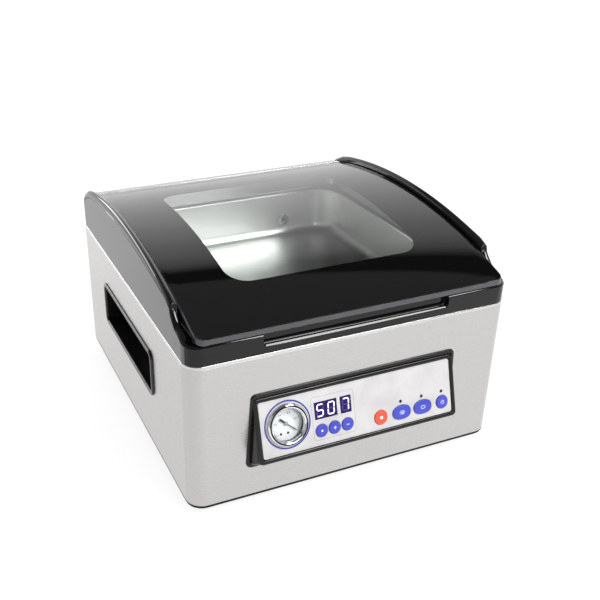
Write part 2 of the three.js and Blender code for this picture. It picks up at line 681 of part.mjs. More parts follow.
function fanImpeller() {
  const y0 = HALF_D - 27;
  const y1 = HALF_D - 8;
  const parts = [rod("y", 15, y0, y1, FAN_X, FAN_Z, 20)];
  for (let i = 0; i < 7; i += 1) {
    const blade = block(12, 35.5, -1, 1, -7, 7).rotateX(0.6);
    const turn = new THREE.Matrix4().makeRotationY((2 * Math.PI * i) / 7);
    parts.push(blade.applyMatrix4(turn).translate(FAN_X, (y0 + y1) / 2, FAN_Z));
  }
  return join(...parts);
}

function powerSocket() {
  const outside = HALF_D - 1.1 + GAP;
  const body = block(SOCKET_X - 13.5, SOCKET_X + 13.5, outside - 26, outside + 0.1,
    REAR_CONTROL_Z - 9.5, REAR_CONTROL_Z + 9.5);
  const flange = block(SOCKET_X - 25, SOCKET_X + 25, outside, outside + 2.5,
    REAR_CONTROL_Z - 12, REAR_CONTROL_Z + 12);
  const mouth = block(SOCKET_X - 11.5, SOCKET_X + 11.5, outside - 15, outside + 5,
    REAR_CONTROL_Z - 7.5, REAR_CONTROL_Z + 7.5);
  const pins = [-7, 0, 7].map((x) => block(SOCKET_X + x - 1, SOCKET_X + x + 1, outside - 16,
    outside - 2, REAR_CONTROL_Z - 2, REAR_CONTROL_Z + 2));
  return join(cut(join(body, flange), mouth), ...pins);
}

function switchHousing() {
  const outside = HALF_D - 1.1 + GAP;
  const body = block(SWITCH_X - 6.5, SWITCH_X + 6.5, outside - 18, outside + 0.1,
    REAR_CONTROL_Z - 10.5, REAR_CONTROL_Z + 10.5);
  const flange = block(SWITCH_X - 9, SWITCH_X + 9, outside, outside + 1.6,
    REAR_CONTROL_Z - 13, REAR_CONTROL_Z + 13);
  const mouth = block(SWITCH_X - 5, SWITCH_X + 5, outside - 9, outside + 5,
    REAR_CONTROL_Z - 9, REAR_CONTROL_Z + 9);
  return cut(join(body, flange), mouth);
}

// Side view of the rocker round its pivot, in (y, z): two faces that meet in a shallow valley.
const ROCKER_REST = THREE.MathUtils.degToRad(-9);
const ROCKER_PIVOT_Y = HALF_D - 4;

function rocker() {
  const profile = polygon([[-4, 0], [-2.5, -5], [3.6, -8], [3.8, 0], [3.6, 8], [-2.5, 5]]);
  return extrude(profile, -4.5, 4.5, "x");
}

function lidSwitch() {
  return block(LID_SWITCH_X - 10, LID_SWITCH_X + 10, -187, -179, SEAM_Z + 1, 174.4);
}

function buildInside() {
  add("vacuum_pump", vacuumPump(), castMetal);
  add("pump_motor", pumpMotor(), zinc);
  add("transformer", transformer(), zinc);
  add("valve_block", valveBlock(), brass);
  add("suction_fitting", suctionFitting(), brass);
  add("suction_hose", hose([[PORT_X, 163.4, PORT_Z], [PORT_X, 168, PORT_Z], [79, 177, 141],
    [86, 179, 118], [96, 170, 88], [100, 160, 74], [100, 152, 72], [100, 146.4, 72]], 4.5),
  hoseWhite);
  add("pump_hose", hose([[100, 111.6, 72], [100, 106, 72], [96, 92, 86], [76, 72, 112],
    [56, 60, 114], [49, 59, 103], [49, 59, 94.5]], 4.5), hoseWhite);
  add("fan_frame", fanFrame(), blackMatte);
  add("fan_impeller", fanImpeller(), blackMatte);
  add("power_socket", powerSocket(), blackMatte);
  add("switch_housing", switchHousing(), blackMatte);
  const rockerMesh = add("switch_rocker", rocker(), redButton);
  rockerMesh.position.set(SWITCH_X, ROCKER_PIVOT_Y, REAR_CONTROL_Z);
  rockerMesh.rotation.x = ROCKER_REST;
  add("lid_switch", lidSwitch(), blackMatte);
  add("lid_switch_plunger", rod("z", 1.5, 176.2, 186.2, LID_SWITCH_X, -183, 12), redButton);
}

// ---------------------------------------------------------------- the whole machine
function buildHousing() {
  add("base_tray", baseTray(), blackMatte);
  for (const [name, x, y] of [["foot_front_left", -1, -1], ["foot_front_right", 1, -1],
    ["foot_rear_left", -1, 1], ["foot_rear_right", 1, 1]]) {
    const mesh = add(name, foot(), rubber);
    mesh.position.set(x * 142, y * 150, -TRAY_LIP - GAP - FOOT_H);
  }
  add("casing", casing(), stainless);
  add("rear_panel", rearPanel(), stainless);
  add("top_frame", topFrame(), blackGloss);
  add("hinge_cover", hingeCover(), stainless);
  add("hand_recess_left", handRecess(-1), blackMatte);
  add("hand_recess_right", handRecess(1), blackMatte);
  add("vacuum_chamber", vacuumChamber(), tubSteel);
}

function buildLid() {
  add("lid_panel", lidPanel(), clear);
  add("lid_frame", lidFrame(), blackMatte);
  add("lid_gasket", gasket(), silicone);
  add("pressure_bar_holder", pressureBarHolder(), blackMatte);
  add("silicone_bar", siliconeBar(), silicone);
  add("hinge_leaf_lid", lidLeaf(), stainless);
  add("hinge_leaf_body", bodyLeaf(), stainless);
  add("hinge_pin", hingePin(), zinc);
}

function buildSealBar() {
  add("lift_cylinder_left", liftCylinder(-1), aluminium);
  add("lift_cylinder_right", liftCylinder(1), aluminium);
  add("guide_pin_left", guidePin(-1), zinc);
  add("guide_pin_right", guidePin(1), zinc);
  add("seal_bar", sealBar(), aluminium);
  add("heating_strip", heatingStrip(), tape);
}

buildHousing();
buildLid();
buildSealBar();
buildPanel();
buildInside();

const extent = new THREE.Box3().setFromObject(machine);
machine.position.set(0, -(extent.min.y + extent.max.y) / 2, -extent.min.z);

const group = new THREE.Group();
group.add(machine);
export default group;
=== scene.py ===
"""A tabletop chamber vacuum packing machine: its visible surfaces, materials, light and camera.

Shapes are drawn in millimetres in the casing's own frame: x to the right, y to the back with 0 at the
casing's middle, z up with 0 at the casing's lower edge. place() turns them into metres in the row frame.
"""
import json
import math

import bmesh
import bpy
from mathutils import Matrix, Vector

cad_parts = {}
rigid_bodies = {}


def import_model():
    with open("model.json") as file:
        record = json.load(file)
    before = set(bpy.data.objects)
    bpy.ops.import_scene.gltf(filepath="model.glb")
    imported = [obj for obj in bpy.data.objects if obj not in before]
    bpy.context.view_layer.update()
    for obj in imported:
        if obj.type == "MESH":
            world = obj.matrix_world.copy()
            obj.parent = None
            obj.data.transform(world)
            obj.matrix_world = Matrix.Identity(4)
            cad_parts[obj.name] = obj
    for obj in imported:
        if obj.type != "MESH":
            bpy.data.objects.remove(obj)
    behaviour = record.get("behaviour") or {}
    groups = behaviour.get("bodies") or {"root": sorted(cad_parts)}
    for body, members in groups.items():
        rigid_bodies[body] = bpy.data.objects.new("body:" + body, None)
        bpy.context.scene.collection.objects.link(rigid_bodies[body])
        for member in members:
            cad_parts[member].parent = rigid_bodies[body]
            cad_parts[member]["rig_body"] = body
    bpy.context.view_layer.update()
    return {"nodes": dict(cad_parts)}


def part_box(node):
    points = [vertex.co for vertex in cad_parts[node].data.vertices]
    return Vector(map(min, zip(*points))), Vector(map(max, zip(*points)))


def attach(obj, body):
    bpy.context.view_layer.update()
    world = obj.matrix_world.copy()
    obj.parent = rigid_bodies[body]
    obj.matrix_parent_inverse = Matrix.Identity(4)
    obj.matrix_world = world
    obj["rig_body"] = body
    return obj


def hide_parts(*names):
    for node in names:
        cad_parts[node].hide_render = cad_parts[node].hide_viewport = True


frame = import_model()

# ---- driving sizes, in millimetres
MM = 0.001
low_corner, high_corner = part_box("casing")
ORIGIN = Vector((0, (low_corner.y + high_corner.y) / 2, low_corner.z))

HALF_W, HALF_D, CORNER_R = 180, 192, 18
SEAM_Z, BAND_Z = 164, 184.5
SHEET = 1.2
INSET = 0.45  # the black frame stands this far inside the steel casing's face
RAIL_INNER = 8.5  # depth of the side walls' inner face
BAND_INNER = 14.5  # depth of the front band's inner face

ARCH_Y, ARCH_TOP, LID_R, LID_T = 22, 225, 680, 6
ARCH_CENTRE_Z = ARCH_TOP - LID_R
LID_HALF_W, LID_FRONT, LID_BACK = 170.0, -192, 163.6
LID_LIFT = 1.5  # the clear sheet's top stands this far above the arch that the rails follow
HINGE_Y, HINGE_Z = 167, 208.2
LID_CORNER_R = 9
STRIP_HALF_W = 169.6  # the metal strip on the lid's rear edge
RAIL_RISE = 8.5
WINDOW = (-109, 109, -128, 99)

SEAL_Z, FLANGE_T, CHAMBER_FLOOR = 185, 1.5, 128
PORT = (77, 148)

PANEL_TILT = math.radians(17)
PANEL_CENTRE = (0, -201.7, 82.75)
PANEL_HALF = (109.5, 29.3)
RIM = 1.5
GAUGE = (-80.5, 1)
NEEDLE_REST = math.radians(-40.6)
GAUGE_SWEEP = math.radians(270)
POCKET_Y, POCKET_Z = 12.4, 95
POCKET_HALF_W, POCKET_HALF_H = 90, 22.5
POCKET_GAP = 3  # the sheet's hole is this much wider than the cup, hidden under the cup's rim
OPENING_HALF_W, OPENING_LOW, OPENING_HIGH = 111.5, 43.5, 117.5  # the casing's opening behind the bezel

SMALL_BUTTONS_U, SMALL_BUTTON_V = (-44.3, -29.7, -14.9), -14
STOP_U, VACUUM_U, SET_U, POWER_U, MAIN_BUTTON_V = 23.8, 48.6, 74.1, 98.1, -16.2


def place(x, y, z):
    return ORIGIN + Vector((x, y, z)) * MM


def on_panel(u, v, w):
    """A point of the tilted control panel: u to the right, v up the panel, w out of its face."""
    sin, cos = math.sin(PANEL_TILT), math.cos(PANEL_TILT)
    x, y, z = PANEL_CENTRE
    return place(x + u, y + v * sin - w * cos, z + v * cos + w * sin)


def on_gauge(u, v, w):
    return on_panel(GAUGE[0] + u, GAUGE[1] + v, w)


def arch(y, radius=LID_R):
    return ARCH_CENTRE_Z + math.sqrt(radius ** 2 - (y - ARCH_Y) ** 2)


def along(value, stops):
    """Reads a smooth line through (place, height) stops."""
    if value <= stops[0][0]:
        return stops[0][1]
    for (a, low), (b, high) in zip(stops, stops[1:]):
        if value <= b:
            t = (value - a) / (b - a)
            return low + (high - low) * t * t * (3 - 2 * t)
    return stops[-1][1]


# ---- materials
def map_range(tree, source, start, end, low, high):
    """Spreads the source's start to end over low to high."""
    node = tree.nodes.new("ShaderNodeMapRange")
    for socket, value in zip(("From Min", "From Max", "To Min", "To Max"), (start, end, low, high)):
        node.inputs[socket].default_value = value
    tree.links.new(source, node.inputs["Value"])
    return node.outputs["Result"]


def multiply(tree, *sources):
    node = tree.nodes.new("ShaderNodeMath")
    node.operation = "MULTIPLY"
    for socket, source in zip(node.inputs, sources):
        tree.links.new(source, socket)
    return node.outputs["Value"]


class Look:
    """A Principled material whose detail comes from procedural noise in the piece's own metres."""

    def __init__(self, name, color, roughness, metallic=0.0, ior=1.5):
        self.material = bpy.data.materials.new(name)
        self.material.use_nodes = True
        self.tree = self.material.node_tree
        self.shader = self.tree.nodes["Principled BSDF"]
        self.color = color
        self.set("Base Color", (*color, 1))
        self.set("Roughness", roughness)
        self.set("Metallic", metallic)
        self.set("IOR", ior)

    def set(self, socket, value):
        self.shader.inputs[socket].default_value = value
        return self

    def node(self, kind, **values):
        node = self.tree.nodes.new(kind)
        for key, value in values.items():
            setattr(node, key, value)
        return node

    def link(self, source, target):
        self.tree.links.new(source, target)

    def noise(self, size, stretch=(1, 1, 1), detail=3.0):
        """Noise with features of about size millimetres, longer by the stretch along each axis."""
        coordinates = self.node("ShaderNodeTexCoord")
        mapping = self.node("ShaderNodeMapping")
        mapping.inputs["Scale"].default_value = [1 / s for s in stretch]
        noise = self.node("ShaderNodeTexNoise")
        noise.inputs["Scale"].default_value = 1 / (size * MM)
        noise.inputs["Detail"].default_value = detail
        self.link(coordinates.outputs["Object"], mapping.inputs["Vector"])
        self.link(mapping.outputs["Vector"], noise.inputs["Vector"])
        return noise.outputs["Fac"]

    def ramp(self, factor, low, high):
        """Spreads the range where nearly all of a noise lies over low to high."""
        return map_range(self.tree, factor, 0.3, 0.7, low, high)

    def rough(self, factor, low, high):
        self.link(self.ramp(factor, low, high), self.shader.inputs["Roughness"])

    def tint(self, factor, darkest, lightest=1.0):
        """Lets the base colour wander between two brightnesses of itself."""
        mix = self.node("ShaderNodeMix", data_type="RGBA")
        mix.inputs[6].default_value = (*[c * darkest for c in self.color], 1)
        mix.inputs[7].default_value = (*[min(1, c * lightest) for c in self.color], 1)
        self.link(self.ramp(factor, 0, 1), mix.inputs[0])
        self.link(mix.outputs[2], self.shader.inputs["Base Color"])

    def bump(self, factor, depth, strength=1.0):
        """Raises the surface by up to depth millimetres where the factor is high."""
        bump = self.node("ShaderNodeBump")
        bump.inputs["Strength"].default_value = strength
        bump.inputs["Distance"].default_value = depth * MM
        earlier = self.shader.inputs["Normal"].links
        if earlier:
            self.link(earlier[0].from_socket, bump.inputs["Normal"])
        self.link(factor, bump.inputs["Height"])
        self.link(bump.outputs["Normal"], self.shader.inputs["Normal"])


def brushed(name, color, stretch, roughness=0.27):
    look = Look(name, color, roughness, metallic=1.0)
    fine = look.noise(0.22, stretch, 4)
    broad = look.noise(0.7, stretch, 2)
    smudge = look.noise(60, detail=2)
    look.rough(fine, roughness - 0.03, roughness + 0.04)
    look.tint(broad, 0.98, 1.012)
    look.bump(fine, 0.0008, 0.5)
    look.bump(smudge, 0.10, 0.15)
    return look


def moulded(name, color, roughness, grain=0.25, depth=0.02, ior=1.5):
    look = Look(name, color, roughness, ior=ior)
    fine = look.noise(grain, detail=2)
    cloud = look.noise(22, detail=3)
    look.rough(cloud, roughness * 0.85, roughness * 1.2)
    look.tint(cloud, 0.9, 1.08)
    look.bump(fine, depth, 0.6)
    return look


def plated(name, color, roughness):
    look = Look(name, color, roughness, metallic=1.0)
    cloud = look.noise(9, detail=4)
    look.rough(cloud, roughness * 0.75, roughness * 1.3)
    look.tint(cloud, 0.9, 1.05)
    look.bump(look.noise(0.8, detail=2), 0.006, 0.5)
    return look


def clear(name, tint, roughness=0.02):
    """Clear sheet: what is behind shows straight through, and only the face a ray enters by mirrors."""
    look = Look(name, tint, roughness)
    look.tree.nodes.remove(look.shader)
    through = look.node("ShaderNodeBsdfTransparent")
    through.inputs["Color"].default_value = (*tint, 1)
    mirror = look.node("ShaderNodeBsdfGlossy")
    mirror.inputs["Color"].default_value = (1, 1, 1, 1)
    look.link(look.ramp(look.noise(30, detail=3), roughness, roughness * 2), mirror.inputs["Roughness"])
    fresnel = look.node("ShaderNodeFresnel")
    fresnel.inputs["IOR"].default_value = 1.49
    geometry = look.node("ShaderNodeNewGeometry")
    entering = look.node("ShaderNodeMath", operation="SUBTRACT")
    entering.inputs[0].default_value = 1.0
    look.link(geometry.outputs["Backfacing"], entering.inputs[1])
    share = multiply(look.tree, fresnel.outputs["Fac"], entering.outputs["Value"])
    mix = look.node("ShaderNodeMixShader")
    look.link(share, mix.inputs["Fac"])
    look.link(through.outputs["BSDF"], mix.inputs[1])
    look.link(mirror.outputs["BSDF"], mix.inputs[2])
    look.link(mix.outputs["Shader"], look.tree.nodes["Material Output"].inputs["Surface"])
    return look


def lit(name, color, strength):
    look = Look(name, color, 0.3)
    look.set("Emission Color", (*color, 1))
    look.set("Emission Strength", strength)
    look.rough(look.noise(0.6), 0.25, 0.4)
    return look


LEVEL = (60, 60, 1)
ACROSS = (60, 1, 1)
sheet_steel = brushed("brushed_sheet", (0.49, 0.482, 0.476), LEVEL)
hem_steel = brushed("rolled_edge", (0.58, 0.575, 0.57), LEVEL, 0.2)
cover_steel = brushed("brushed_cover", (0.38, 0.38, 0.378), ACROSS, 0.3)
tub_steel = brushed("drawn_tub", (0.82, 0.82, 0.805), (4, 4, 3), 0.38)
chrome = plated("polished_chrome", (0.80, 0.80, 0.82), 0.04)
aluminium = brushed("drawn_aluminium", (0.66, 0.67, 0.68), ACROSS, 0.3)
zinc = plated("zinc_plate", (0.45, 0.46, 0.48), 0.35)
brass = plated("machined_brass", (0.60, 0.44, 0.18), 0.28)
cast = plated("cast_metal", (0.32, 0.33, 0.35), 0.55).set("Metallic", 0.6)
gloss_black = moulded("gloss_black", (0.005, 0.005, 0.0055), 0.05, 1.4, 0.0015, 1.37)
satin_flank = Look("satin_flank", (0.06, 0.058, 0.06), 0.3, ior=1.62)
satin_flank.bump(satin_flank.noise(0.5, detail=2), 0.003, 0.5)
cup_black = moulded("cup_black", (0.008, 0.008, 0.008), 0.2, 0.5, 0.01)
grained_black = moulded("grained_black", (0.014, 0.014, 0.015), 0.42, 0.35, 0.05)
printed_black = moulded("printed_black", (0.0012, 0.0012, 0.0015), 0.6, 0.5, 0.001, 1.0)
edge_black = moulded("edge_black", (0.006, 0.006, 0.006), 0.6, 0.5, 0.01, 1.2)
# an opaque grey for the clear sheet's front face, bevels and end faces: painted light standing in for the
# glow of a lit acrylic edge
acrylic_edge_painted_light = moulded("acrylic_edge_painted_light", (0.055, 0.055, 0.062), 0.12, 0.6, 0.006)
rubber = moulded("moulded_rubber", (0.018, 0.018, 0.018), 0.8, 0.5, 0.06)
silicone = moulded("silicone_rubber", (0.70, 0.68, 0.64), 0.55, 0.7, 0.04)
pane = clear("clear_acrylic", (0.93, 0.945, 0.94), 0.008)
lens_glass = clear("gauge_glass", (0.96, 0.97, 0.97))
panel_film = moulded("panel_film", (0.54, 0.53, 0.53), 0.36, 0.18, 0.004)
print_blue = moulded("printed_blue", (0.022, 0.03, 0.27), 0.3, 0.2, 0.004)
print_grey = moulded("printed_grey", (0.30, 0.29, 0.30), 0.4, 0.2, 0.004)
print_white = moulded("printed_white", (0.80, 0.82, 0.92), 0.4, 0.2, 0.004)
smoked = moulded("display_window", (0.012, 0.004, 0.085), 0.12, 3, 0.003, 1.3)
digit_light = lit("digit_light", (0.78, 0.70, 1.0), 0.9)
digit_off = moulded("unlit_segment", (0.07, 0.05, 0.22), 0.3, 0.5, 0.004, 1.2)
dial_white = moulded("dial_white", (0.90, 0.91, 0.92), 0.45, 0.3, 0.004)
needle_black = moulded("needle_black", (0.008, 0.008, 0.008), 0.35, 0.3, 0.01)
button_blue = moulded("button_blue", (0.042, 0.055, 0.44), 0.32, 0.25, 0.01)
button_red = moulded("button_red", (0.86, 0.075, 0.035), 0.3, 0.25, 0.015)
lamp_dark = moulded("lamp_lens", (0.012, 0.010, 0.014), 0.08, 1, 0.003)
circuit = moulded("circuit_board", (0.02, 0.16, 0.05), 0.35, 0.4, 0.04)
tape = moulded("sealing_tape", (0.30, 0.19, 0.10), 0.5, 0.35, 0.08)
hose_rubber = moulded("hose_rubber", (0.62, 0.60, 0.55), 0.45, 0.5, 0.03)


# ---- mesh helpers
def add_object(name, data):
    obj = bpy.data.objects.new(name, data)
    bpy.context.scene.collection.objects.link(obj)
    return obj


def finish_mesh(obj, looks, body, slot, stands_for, bevel, sharp):
    """Gives a new object its materials, rounded edges, body and the CAD nodes it stands for; slot is not
    used.
    """
    for look in looks:
        obj.data.materials.append(look.material)
    obj.data.shade_smooth()
    obj.data.set_sharp_from_angle(angle=math.radians(sharp))
    if bevel:
        rounding = obj.modifiers.new("rounded_edges", "BEVEL")
        rounding.width = bevel * MM
        rounding.segments = 2
        rounding.limit_method = "ANGLE"
        rounding.angle_limit = math.radians(sharp)
    flat = obj.modifiers.new("even_shading", "WEIGHTED_NORMAL")
    flat.keep_sharp = True
    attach(obj, body)
    if stands_for:
        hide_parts(*stands_for)


def build(name, shells, looks, slot, body="housing", stands_for=(), bevel=0.0, sharp=38, zones=None):
    """One piece from closed shells of (points in metres, faces). zones gives each face's material."""
    points, faces = [], []
    for shell_points, shell_faces in shells:
        start = len(points)
        points.extend(shell_points)
        faces.extend(tuple(start + i for i in face) for face in shell_faces)
    mesh = bpy.data.meshes.new(name)
    mesh.from_pydata(points, [], faces)
    if zones:
        mesh.polygons.foreach_set("material_index", zones)
    tidy = bmesh.new()
    tidy.from_mesh(mesh)
    bmesh.ops.recalc_face_normals(tidy, faces=tidy.faces)
    tidy.to_mesh(mesh)
    tidy.free()
    looks = looks if isinstance(looks, list) else [looks]
    finish_mesh(add_object(name, mesh), looks, body, slot, stands_for, bevel, sharp)


def refined(node, look, slot, bevel):
    """A clean copy of a CAD node's shape, with rounded edges and smooth round faces."""
    source = frame["nodes"][node]
    mesh = source.data.copy()
    mesh.name = node + "_fine"
    mesh.materials.clear()
    tidy = bmesh.new()
    tidy.from_mesh(mesh)
    bmesh.ops.remove_doubles(tidy, verts=tidy.verts, dist=1e-6)
    bmesh.ops.dissolve_limit(tidy, angle_limit=math.radians(0.5), verts=tidy.verts, edges=tidy.edges)
    tidy.to_mesh(mesh)
    tidy.free()
    if "custom_normal" in mesh.attributes:
        mesh.attributes.remove(mesh.attributes["custom_normal"])
    obj = add_object(node + "_fine", mesh)
    finish_mesh(obj, [look], source["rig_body"], slot, [node], bevel, 38)


def loft(rings, caps=True):
    """A skin through rings of equal length, capped at both ends or else joined from last to first."""
    count = len(rings[0])
    points = [point for ring in rings for point in ring]
    faces = []
    for k in range(len(rings) - 1 if caps else len(rings)):
        a, b = k * count, ((k + 1) % len(rings)) * count
        for i in range(count):
            j = (i + 1) % count
            faces.append((a + i, a + j, b + j, b + i))
    if caps:
        faces.append(tuple(range(count)))
        faces.append(tuple(range(len(points) - count, len(points))))
    return points, faces


def arc_corner(cx, cy, radius, start, steps):
    """Quarter-circle points round (cx, cy), counter-clockwise from the start angle in degrees."""
    turns = [math.radians(start + 90 * k / steps) for k in range(steps + 1)]
    return [(cx + radius * math.cos(t), cy + radius * math.sin(t)) for t in turns]


def rounded(x0, x1, y0, y1, low_r, high_r=None, corner_steps=8, side_steps=1):
    """A rounded rectangle, counter-clockwise from its lower left corner's right end."""
    high_r = low_r if high_r is None else high_r
    corners = [arc_corner(x1 - low_r, y0 + low_r, low_r, -90, corner_steps),
               arc_corner(x1 - high_r, y1 - high_r, high_r, 0, corner_steps),
               arc_corner(x0 + high_r, y1 - high_r, high_r, 90, corner_steps),
               arc_corner(x0 + low_r, y0 + low_r, low_r, 180, corner_steps)]
    outline = []
    for corner, following in zip(corners, corners[1:] + corners[:1]):
        outline.extend(corner)
        (ax, ay), (bx, by) = corner[-1], following[0]
        for k in range(1, side_steps):
            t = k / side_steps
            outline.append((ax + (bx - ax) * t, ay + (by - ay) * t))
    return outline


def ellipse(cx, cy, rx, ry, count=64, fullness=1.0):
    """An ellipse; fullness above 1 squares it towards its box."""
    run = []
    for k in range(count):
        across, up = math.cos(2 * math.pi * k / count), math.sin(2 * math.pi * k / count)
        run.append((cx + rx * math.copysign(abs(across) ** (1 / fullness), across),
                    cy + ry * math.copysign(abs(up) ** (1 / fullness), up)))
    return run


def stacked(levels, outline, where):
    """A closed loft: each (grow, height) level is the outline grown by that much, at that height."""
    return loft([[where(a, b, height) for a, b in outline(grow)] for grow, height in levels])


def slab(outline, low, high, where):
    """A flat plate with square edges, from one outline."""
    return loft([[where(a, b, height) for a, b in outline] for height in (low, high)])


def hollow_slab(outer, inner, low, high, where):
    """A flat frame between two outlines of equal length."""
    levels = ((outer, low), (outer, high), (inner, high), (inner, low))
    return loft([[where(a, b, height) for a, b in outline] for outline, height in levels], caps=False)


def across(y, z, x):
    """A point of an outline that is seen from the side, at x."""
    return place(x, y, z)


def turned(profile, where, count=96):
    """A ring turned round the local axis from a closed (radius, height) profile."""
    rings = []
    for k in range(count):
        t = 2 * math.pi * k / count
        rings.append([where(r * math.cos(t), r * math.sin(t), h) for r, h in profile])
    return loft(rings, caps=False)


def box(x0, x1, y0, y1, z0, z1):
    outline = [(x0, y0), (x1, y0), (x1, y1), (x0, y1)]
    return slab(outline, z0, z1, place)


# ---- casing
def corner_station(share):
    """The outer point and inward direction that far round the front left corner, from side to front."""
    t = math.radians(180 + 90 * share)
    out = (math.cos(t), math.sin(t))
    centre = (-HALF_W + CORNER_R, -HALF_D + CORNER_R)
    return tuple(c + CORNER_R * o for c, o in zip(centre, out)), (-out[0], -out[1])


def plan_path(stops_side, corner_steps):
    """Stations round the machine from rear left to rear right: (outer point, inward direction)."""
    stations = [((-HALF_W, y), (1, 0)) for y in stops_side]
    stations += [corner_station(k / corner_steps) for k in range(corner_steps + 1)]
    stations.append(((-OPENING_HALF_W, -HALF_D), (0, 1)))
    mirrored = [((-x, y), (-dx, dy)) for (x, y), (dx, dy) in reversed(stations)]
    return stations + mirrored


def stand(point, inward, section, base=0):
    """A section of (depth, height) points, stood at one station."""
    return [place(point[0] + inward[0] * d, point[1] + inward[1] * d, base + h) for d, h in section]


def build_casing():
    pocket = (POCKET_Y + POCKET_HALF_W + POCKET_GAP, POCKET_Y - POCKET_HALF_W - POCKET_GAP)
    pocket_low = POCKET_Z - POCKET_HALF_H - POCKET_GAP
    pocket_high = POCKET_Z + POCKET_HALF_H + POCKET_GAP
    stations = plan_path([HALF_D, *pocket], 16)
    levels = [1.2, OPENING_LOW, pocket_low, OPENING_HIGH, pocket_high, SEAM_Z - 3.2]
    points, faces = [], []
    for z in levels:
        points += [place(x, y, z) for (x, y), _ in stations]
    count = len(stations)
    for k, low in enumerate(levels[:-1]):
        for i in range(count - 1):
            (ax, ay), (bx, by) = stations[i][0], stations[i + 1][0]
            in_opening = ax == -OPENING_HALF_W and bx == OPENING_HALF_W and OPENING_LOW <= low < OPENING_HIGH
            in_pocket = ax == bx and {ay, by} == set(pocket) and pocket_low <= low < pocket_high
            if in_opening or in_pocket:
                continue
            a, b = k * count + i, (k + 1) * count + i
            faces.append((a, a + 1, b + 1, b))
    skin = bpy.data.meshes.new("casing_sheet")
    skin.from_pydata(points, [], faces)
    obj = add_object("casing_sheet", skin)
    thick = obj.modifiers.new("sheet_thickness", "SOLIDIFY")
    thick.thickness = SHEET * MM
    thick.offset = -1
    thick.use_even_offset = True
    finish_mesh(obj, [sheet_steel], "housing", "stainless_sheet", ["casing"], 0.3, 50)

    hem = [(0.0, -3.2), (0.0, -1.3), (0.04, -0.9), (0.14, -0.5), (0.28, -0.2), (0.5, 0.0), (1.6, 0.0),
           (2.2, -0.6), (2.2, -3.2)]
    rings = [stand(*station, hem, SEAM_Z) for station in plan_path([HALF_D], 24)]
    build("casing_hem", [loft(rings)], hem_steel, "stainless_sheet", sharp=60)
    skirt = [(0.1, -0.3), (0.1, 1.2), (1.5, 1.2), (1.5, -0.3)]
    rings = [stand(*station, skirt) for station in plan_path([HALF_D - 2], 24)]
    build("casing_skirt", [loft(rings)], edge_black, "matte_black", sharp=60)
    for side, name in ((-1, "left"), (1, "right")):
        x0, x1 = sorted((side * 163.4, side * 178.6))
        build(f"casing_rear_flange_{name}", [box(x0, x1, 188.2, 189.4, 0.2, SEAM_Z - 1)], sheet_steel,
              "stainless_sheet", bevel=0.3)


# ---- black top frame
NOSE = [(-138, 214.65), (-145.4, 211.2), (-147.6, 205.3), (-153.5, 198.4), (-160, 192.6), (-168, 189.6),
        (-178, 185.6), (-182, BAND_Z)]
BEAD = [(-181, 0.2), (-170, 1.4), (-158, 2.8), (-148, 4.4), (-136, 3.8), (-111, 6.0), (-60, 7.7),
        (0, 8.5), (190, 8.2)]
RAIL_END = [(162, 218.3), (167, 217.2), (171, 215.3), (175, 213.4), (180, 211.2), (184, 209.1),
            (187, 206.8), (189, 204.2), (190.3, 200.5)]
SLOT_HALF_W, SLOT_Z, SLOT_DEPTH, SLOT_END_R = 103, 173, 7.5, 4


def nose_points(steps=5):
    """A smooth run through the nose's points, as (y, z), from the rail down to the front band."""
    run = []
    for k in range(1, len(NOSE) - 2):
        before, a, b, after = NOSE[k - 1:k + 3]
        for s in range(steps):
            t = s / steps
            run.append(tuple(
                0.5 * (2 * p + (q - o) * t + (2 * o - 5 * p + 4 * q - r) * t * t
                       + (3 * p - o - 3 * q + r) * t ** 3)
                for o, p, q, r in zip(before, a, b, after)))
    return run


def side_section(y, crest):
    """The rail's section: flush wall, a crease, then a bead that falls to a crisp inner edge."""
    edge = crest - along(y, BEAD)
    inner = crest - min(2.4, 0.55 * along(y, BEAD))
    section = [(INSET, SEAM_Z), (INSET, edge - 1.1), (INSET + 0.5, edge - 0.7), (INSET + 1.1, edge - 0.2),
               (INSET + 0.3, edge + 0.3)]
    for k in range(8):
        t = math.radians(16 + k * 74 / 7)
        section.append((4.3 - 4.0 * math.cos(t), edge + (crest - edge) * math.sin(t)))
    for share in (0.45, 0.85):
        section.append((4.3 + 3.7 * share, crest - (crest - inner) * share ** 2))
    section += [(8.3, inner - 0.15), (RAIL_INNER, inner - 0.6), (RAIL_INNER, SEAM_Z)]
    return section


def band_section(top, front_top, inner):
    """The front band: its outer part may be lower than its back, which leaves the finger slot."""
    share = min((top - front_top) / 2, 1)
    lip = [(0, -2.0), (0.1, -1.75), (0.75, -1.1), (1.45, -0.35), (1.8, -0.1), (2.2, 0)]
    hollow = [(3.6, -1.6), (5.2, -1.8), (6.0, -1.6), (6.6, -1.1), (7.05, -0.35), (SLOT_DEPTH - 0.1, 0.6)]
    section = [(INSET, SEAM_Z)] + [(INSET + d, front_top + h) for d, h in lip]
    section += [(d, front_top + h * share) for d, h in hollow]
    return section + [(SLOT_DEPTH, top - 0.4 * share), (SLOT_DEPTH + 0.4, top), (inner - 0.3, top),
                      (inner, top - 0.3), (inner, SEAM_Z)]


